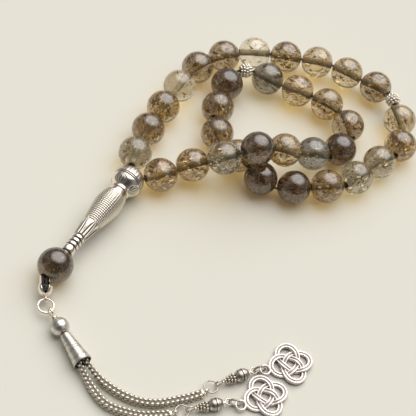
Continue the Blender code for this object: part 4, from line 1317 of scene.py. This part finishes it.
class MISBAHA_OT_tassel(bpy.types.Operator):
    """Make the tassel's eye pin, ball and flared sleeve"""
    bl_idname = "misbaha.tassel"
    bl_label = "Tassel"

    def execute(self, context):
        tassel = context.scene.misbaha_tassel
        eye, along = tassel_place()
        turn = frame_along(along)
        radius, pin = tassel.ball / 2, tassel.pin / 2
        bore = pin + tassel.play
        stop = tassel.eye + tassel.neck + tassel.ball + 2 * SEAT_GAP + tassel.sleeve_wall
        shape = Shape()
        shape.add(wire_ring(tassel.eye, tassel.eye_wire), eye, frame_along(UP.cross(along)))
        shape.add(rod(pin, tassel.eye, stop + 0.3 * MM), eye, turn)
        shape.add(rod(2 * pin, tassel.eye + tassel.eye_wire / 2,
                      tassel.eye + tassel.neck - SEAT_GAP, sides=32, bevel=0.08 * MM), eye, turn)
        shape.add(rod(2 * pin, stop, stop + 0.6 * MM, sides=32, bevel=0.1 * MM), eye, turn)
        shape.piece("tassel_eye_pin", [polished_silver()], "tassel", "polished_silver",
                    "tassel_eye")
        ball_middle = eye + along * (tassel.eye + tassel.neck + radius)
        Shape().add(drilled_ball(radius, bore, bands=40, sides=64), ball_middle, turn).piece(
            "tassel_ball_satin", [satin_silver()], "tassel", "satin_silver", "tassel_ball")
        sleeve = ball_middle + along * (radius + SEAT_GAP)
        cone = turned(self.outline(tassel, bore), sides=96, relief=self.dark(tassel))
        Shape().add(cone, sleeve, turn).piece(
            "tassel_sleeve_satin", [satin_silver()], "tassel", "satin_silver", "tassel_sleeve")
        return {"FINISHED"}

    def outline(self, tassel, bore):
        """Outline of the thin flared sleeve with a rolled rim."""
        cone = []
        for share in np.linspace(0.0, 1.0, 40):
            flare = tassel.sleeve_top + (tassel.sleeve_mouth - tassel.sleeve_top) * share ** 1.08
            if share < 0.04:
                flare -= 0.15 * MM * (1 - share / 0.04) ** 2
            cone.append((flare, share * tassel.sleeve))
        wall = tassel.sleeve_wall
        inside = [(radius - wall, max(height, wall)) for radius, height in cone[:-1]]
        rim = [(tassel.sleeve_mouth - 0.12 * wall, tassel.sleeve),
               (tassel.sleeve_mouth - 0.9 * wall, tassel.sleeve)]
        return [(bore, 0.0)] + cone[:-1] + rim + inside[::-1] + [(bore, wall)]

    def dark(self, tassel):
        """Painted shade inside the hollow sleeve and a dark line round it just below its mouth; the
        outside is left bright.
        """
        def relief(reach, height, angle):
            share = np.clip(height / tassel.sleeve, 0, 1)
            skin_radius = tassel.sleeve_top + (tassel.sleeve_mouth - tassel.sleeve_top) * share
            hollow = (reach < skin_radius - 0.55 * tassel.sleeve_wall) * 1.0
            edge = chased_line(height, tassel.sleeve - 0.35 * MM, 0.12 * MM)
            return np.zeros_like(reach), np.clip(hollow + edge, 0, 1)
        return relief


# Weave of a chain: loop and dark core, a tube of painted shade deep in the weave, as shares of its
# width, and the lean of a loop
LOOP_SHARE, CORE_SHARE, LOOP_LEAN = 0.2, 0.7, 0.42
# How far a chain's end ring reaches back over the weave
FERRULE_BACK = 1.1 * MM


class MISBAHA_OT_chains(bpy.types.Operator):
    """Weave the two chains of the tassel"""
    bl_idname = "misbaha.chains"
    bl_label = "Woven chains"

    def execute(self, context):
        for letter, sign in (("a", 1), ("b", -1)):
            self.weave(context.scene.misbaha_tassel, letter, sign)
        return {"FINISHED"}

    def gathered(self, tassel):
        """Radius of a chain where the two lie side by side in the sleeve."""
        flare = (tassel.sleeve_mouth - tassel.sleeve_top) * tassel.chain_tuck / tassel.sleeve
        wall = (tassel.sleeve_mouth - flare - tassel.sleeve_wall) * math.cos(math.pi / SLEEVE_SIDES)
        return min(tassel.chain / 2, wall / 2 - SEAT_GAP)

    def route(self, tassel, letter, sign):
        """Path of a chain from inside the sleeve to its end."""
        eye, along = tassel_place()
        mouth = eye + along * (tassel.eye + tassel.neck + tassel.ball + SEAT_GAP + tassel.sleeve)
        spread = self.gathered(tassel) + SEAT_GAP
        across = Vector((-along.y, along.x, 0)) * spread * sign
        table = tassel.chain / 2
        points = [mouth - along * tassel.chain_tuck + across, mouth + across]
        points += [Vector((mouth.x + x * MM, mouth.y + y * MM, table))
                   for x, y in CHAIN_ROUTES[letter]]
        path = smooth_path(points, steps=40)
        for point in path:
            point.z = max(point.z, table)
        return path

    def weave(self, tassel, letter, sign):
        """One chain of four rows of leaning loops round a dark core of painted shade, with its end
        eye.
        """
        path = self.route(tassel, letter, sign)
        places, ways = evenly(path, tassel.chain_pitch / 2)
        squeeze = self.gathered(tassel) / (tassel.chain / 2)
        reach = np.cumsum([0.0] + [(b - a).length for a, b in zip(places, places[1:])])
        full = tassel.chain_tuck + tassel.chain
        spread = [min(1.0, max(0.0, (r - full) / (2 * tassel.chain))) for r in reach]
        slim = [squeeze + (1 - squeeze) * share for share in spread]
        loop = tassel.chain * LOOP_SHARE
        shape = Shape()
        core = tassel.chain / 2 * CORE_SHARE
        # Painted shade: a fully dark tube stands for the shade deep in the weave
        shape.add(tube(places, [core * s for s in slim], sides=12), recess=1.0)
        grain = ball(loop, stretch=1.5, fineness=3)
        for index, (place, along, s) in enumerate(zip(places, ways, slim)):
            if index == 0 or index == len(places) - 1:
                continue
            turn = frame_along(along)
            for quarter in range(4):
                if (index + quarter) % 2:
                    continue
                angle = TAU * (quarter + 0.5) / 4
                out = Vector((math.cos(angle), math.sin(angle), 0))
                lean = LOOP_LEAN if quarter % 2 else -LOOP_LEAN
                side = Vector((-out.y, out.x, 0))
                tilt = side * math.sin(lean) + UP * math.cos(lean)
                seat = place + turn @ (out * (tassel.chain / 2 - loop) * s * 1.1)
                leaning = turn @ frame_along(tilt, out)
                shape.add((grain[0] * s, grain[1], self.underside(grain[0], loop)), seat, leaning)
        end, last = path[-1], (path[-1] - path[-3]).normalized()
        made = shape.piece(f"chain_{letter}_woven", [woven_silver()], "tassel", "satin_silver",
                           f"chain_{letter}")
        tip = Shape().add(self.ferrule(tassel), end - last * FERRULE_BACK, frame_along(last))
        tip.add(wire_ring(tassel.chain_eye, tassel.chain_eye_wire, turns=48, sides=12),
                self.eye(tassel, letter, last), frame_along(UP.cross(self.eye_way(letter, last))))
        tip = tip.piece(f"chain_{letter}_end_eye", [polished_silver()], "tassel", "satin_silver")

    def underside(self, spots, loop):
        """Painted shade on the side of a loop that faces the core."""
        return np.clip(0.45 - spots[:, 0] / loop, 0, 1) ** 1.5

    def ferrule(self, tassel):
        """Small end ring that closes the weave."""
        radius = tassel.chain / 2 * 0.86
        outline = [(ON_AXIS, 0), (radius * 0.8, 0), (radius, 0.15 * MM), (radius, 0.9 * MM),
                   (radius * 0.8, 1.15 * MM), (ON_AXIS, 1.25 * MM)]
        return turned(outline, sides=32)

    def eye_way(self, letter, last):
        """Plan heading of a chain's end eye, between the chain and its ring."""
        both = last + heading(PENDANT_HEADINGS[letter][0])
        return Vector((both.x, both.y, 0)).normalized()

    def eye(self, tassel, letter, last):
        """Middle of a chain's end eye, from the ring that hangs in it."""
        ring = middle(f"chain_ring_{letter}")
        hole = tassel.chain_eye - tassel.chain_eye_wire / 2 - tassel.ring_wire / 2 - tassel.play
        eye = ring - heading(PENDANT_HEADINGS[letter][0]) * tassel.chain_ring
        eye = eye - self.eye_way(letter, last) * hole * 0.5
        eye.z = tassel.chain / 2
        return eye


# Wear that dulls the eyes of a connector's pin
EYE_DULL = 0.35


class MISBAHA_OT_connectors(bpy.types.Operator):
    """Make the connectors: pin, granulated cap and lined bead"""
    bl_idname = "misbaha.connectors"
    bl_label = "Connectors"

    def execute(self, context):
        tassel = context.scene.misbaha_tassel
        for letter in "ab":
            along = way(f"connector_cap_{letter}_turn")
            turn = frame_along(along)
            cap = spot(f"connector_cap_{letter}_turn")
            bead = spot(f"connector_bead_{letter}_turn")
            eye = cap - along * (tassel.pin_eye + tassel.pin_eye_wire / 2 + SEAT_GAP)
            shape = Shape()
            near_eye = wire_ring(tassel.pin_eye, tassel.pin_eye_wire)
            far_eye = wire_ring(tassel.pin_far_eye, tassel.pin_eye_wire)
            shaft_end = tassel.pin_length - tassel.pin_far_eye
            shape.add(near_eye, eye, frame_along(UP.cross(along)), recess=EYE_DULL)
            shape.add(rod(tassel.pin_wire / 2, tassel.pin_eye, shaft_end, sides=20), eye, turn)
            shape.add(far_eye, eye + along * tassel.pin_length, recess=EYE_DULL)
            shape.piece(f"connector_pin_{letter}_wire", [polished_silver()], f"connector_{letter}",
                        "polished_silver", f"connector_pin_{letter}")
            self.cap(tassel, letter, cap, turn)
            self.bead(tassel, letter, bead, turn)
        return {"FINISHED"}

    def cap(self, tassel, letter, place, turn):
        """Cone of grains."""
        bore = tassel.pin_wire / 2 + tassel.play
        rows = 4
        grain = tassel.cap / rows / 2
        shape = Shape()
        low, high = 0.1 * MM, tassel.cap - 0.1 * MM
        outline = [(bore, low), (tassel.cap_small * 0.7, low), (tassel.cap_large - grain, high),
                   (bore, high)]
        shape.add(turned(outline, sides=40), place, turn, recess=1.0)
        for row in range(rows):
            height = grain * (2 * row + 1)
            share = height / tassel.cap
            reach = tassel.cap_small + (tassel.cap_large - tassel.cap_small) * share - 0.8 * grain
            count = max(5, round(TAU * (reach + 0.1 * grain) / (2.1 * grain)))
            bit = ball(0.98 * grain * (0.86 + 0.1 * share))
            for step in range(count):
                angle = TAU * (step + 0.5 * (row % 2)) / count
                out = Vector((reach * math.cos(angle), reach * math.sin(angle), height))
                shape.add(bit, place + turn @ out, turn)
        node = f"connector_cap_{letter}"
        shape.piece(f"{node}_granulated", [woven_silver()], node, "satin_silver", node)

    def bead(self, tassel, letter, place, turn):
        """Dark polished bead with a bright raised line round it."""
        bore = tassel.pin_wire / 2 + tassel.play
        top, length, line = tassel.bead_radius, tassel.bead, tassel.bead_line
        waist = 0.52 * length
        outline = [(bore, 0.0)]
        for share in np.linspace(0.0, 1.0, 24):
            rise = math.sin(math.pi / 2 * min(1.0, share / 0.7))
            swell = 0.55 + 0.40 * rise - 0.08 * max(0.0, share - 0.7)
            outline.append((top * swell, share * (waist - 0.1 * MM)))
        for step in range(13):
            angle = math.pi * step / 12
            outline.append((top * (0.86 + 0.14 * math.sin(angle) ** 0.5),
                            waist + line / 2 - line / 2 * math.cos(angle)))
        for share in np.linspace(0.05, 1.0, 20):
            outline.append((top * (0.45 + 0.42 * math.cos(math.pi / 2 * share) ** 0.7),
                            waist + line + share * (length - waist - line)))
        outline.append((bore, length))

        def relief(reach, height, angle):
            bright = chased_line(height, waist + line / 2, 0.42 * line)
            lip = chased_line(height, 0.12 * length, 0.05 * length)
            edges = sum(chased_line(height, at, 0.12 * line) for at in (waist, waist + line))
            return np.zeros_like(reach), np.clip(0.58 * (1 - bright - 0.6 * lip) + edges, 0, 1)

        node = f"connector_bead_{letter}"
        Shape().add(turned(outline, sides=64, relief=relief), place, turn).piece(
            f"{node}_lined", [polished_silver()], node, "polished_silver", node)


def over_under(turn):
    """Height of the knot's band from -1 (under) to +1 (over) along its closed curve."""
    outer, quarter = math.radians(24.8), math.pi / 2
    local = (turn + outer) % quarter - outer
    if local <= outer:
        return math.sin(quarter * local / outer)
    return math.cos(3 * math.pi * (local - outer) / (quarter - 2 * outer))


class MISBAHA_OT_charms(bpy.types.Operator):
    """Cast the two knot charms"""
    bl_idname = "misbaha.charms"
    bl_label = "Knot charms"

    def execute(self, context):
        charm = context.scene.misbaha_charm
        tassel = context.scene.misbaha_tassel
        reach = charm.radius + charm.eyelet - charm.eyelet_wire / 4
        for letter, headings in PENDANT_HEADINGS.items():
            along = heading(headings[3])
            centre = spot(f"charm_{letter}_swing") + along * (2 * tassel.play + reach)
            centre.z = 0.0
            turn = Matrix.Rotation(math.radians(headings[3]), 3, "Z")
            eyelet = centre - along * reach
            eyelet.z = charm.eyelet_height
            shape = Shape().add(self.band(charm), centre, turn)
            shape.add(wire_ring(charm.eyelet, charm.eyelet_wire), eyelet)
            shape.piece(f"charm_{letter}_knot", [cast_silver()], f"charm_{letter}", "charm_silver",
                        f"charm_{letter}")
        return {"FINISHED"}

    def band(self, charm):
        """One closed grooved band with four lobes, over and under itself."""
        steps, points = 288, 21
        small = (charm.radius - charm.band / 2) / (1 + charm.lobe_ratio)
        large = small * charm.lobe_ratio
        half = charm.band / 2
        spots, hollow = [], []
        for step in range(steps):
            turn = TAU * step / steps
            here = Vector((small * math.cos(turn) + large * math.cos(3 * turn),
                           small * math.sin(turn) - large * math.sin(3 * turn), 0))
            run = Vector((-small * math.sin(turn) - 3 * large * math.sin(3 * turn),
                          small * math.cos(turn) - 3 * large * math.cos(3 * turn), 0)).normalized()
            out = Vector((run.y, -run.x, 0))
            top = (charm.over + charm.under) / 2 + (charm.over - charm.under) / 2 * over_under(turn)
            spots += [here - out * half, here + out * half]
            # Painted shade: full dark at the foot of the band's side walls, fading up the walls
            hollow += [1.0, 1.0]
            for point in range(points):
                across = 1 - 2 * point / (points - 1)
                dip = math.exp(-(across / 0.21) ** 2)
                edge = max(0.0, (abs(across) - 0.8) / 0.2) ** 2
                height = top - charm.groove * (dip + 0.7 * edge)
                spots.append(here + out * half * across + UP * height)
                hollow.append(0.62 * dip)
        faces = skin(steps, points + 2, True)
        return np.array([s[:] for s in spots]), faces, np.array(hollow)


SETTINGS = {
    "misbaha_strand": StrandSettings, "misbaha_stone": StoneColours,
    "misbaha_silver": SilverColours, "misbaha_imame": ImameSettings,
    "misbaha_tassel": TasselSettings, "misbaha_charm": CharmSettings,
    "misbaha_stage": StageSettings,
}
STEPS = (MISBAHA_OT_stage, MISBAHA_OT_cord, MISBAHA_OT_chains, MISBAHA_OT_beads,
         MISBAHA_OT_dividers, MISBAHA_OT_imame_head, MISBAHA_OT_imame_body,
         MISBAHA_OT_knot_cover, MISBAHA_OT_rings, MISBAHA_OT_tassel, MISBAHA_OT_connectors,
         MISBAHA_OT_charms)


class MISBAHA_PT_panel(bpy.types.Panel):
    """Sizes, colours and steps of the misbaha"""
    bl_idname = "MISBAHA_PT_panel"
    bl_label = "Misbaha"
    bl_space_type = "VIEW_3D"
    bl_region_type = "UI"
    bl_category = "Misbaha"

    def draw(self, context):
        for step in STEPS:
            self.layout.operator(step.bl_idname)
        for name, group in SETTINGS.items():
            box = self.layout.box()
            for field in group.__annotations__:
                box.prop(getattr(context.scene, name), field)


def register():
    """Register settings, steps and panel."""
    for name, group in SETTINGS.items():
        bpy.utils.register_class(group)
        setattr(bpy.types.Scene, name, PointerProperty(type=group))
    for step in STEPS + (MISBAHA_PT_panel,):
        bpy.utils.register_class(step)


def unregister():
    """Take settings, steps and panel away again."""
    for step in (MISBAHA_PT_panel,) + STEPS[::-1]:
        bpy.utils.unregister_class(step)
    for name, group in SETTINGS.items():
        delattr(bpy.types.Scene, name)
        bpy.utils.unregister_class(group)


def main():
    """Build every piece."""
    register()
    for step in STEPS:
        family, call = step.bl_idname.split(".")
        getattr(getattr(bpy.ops, family), call)()


if __name__ == "__main__":
    main()
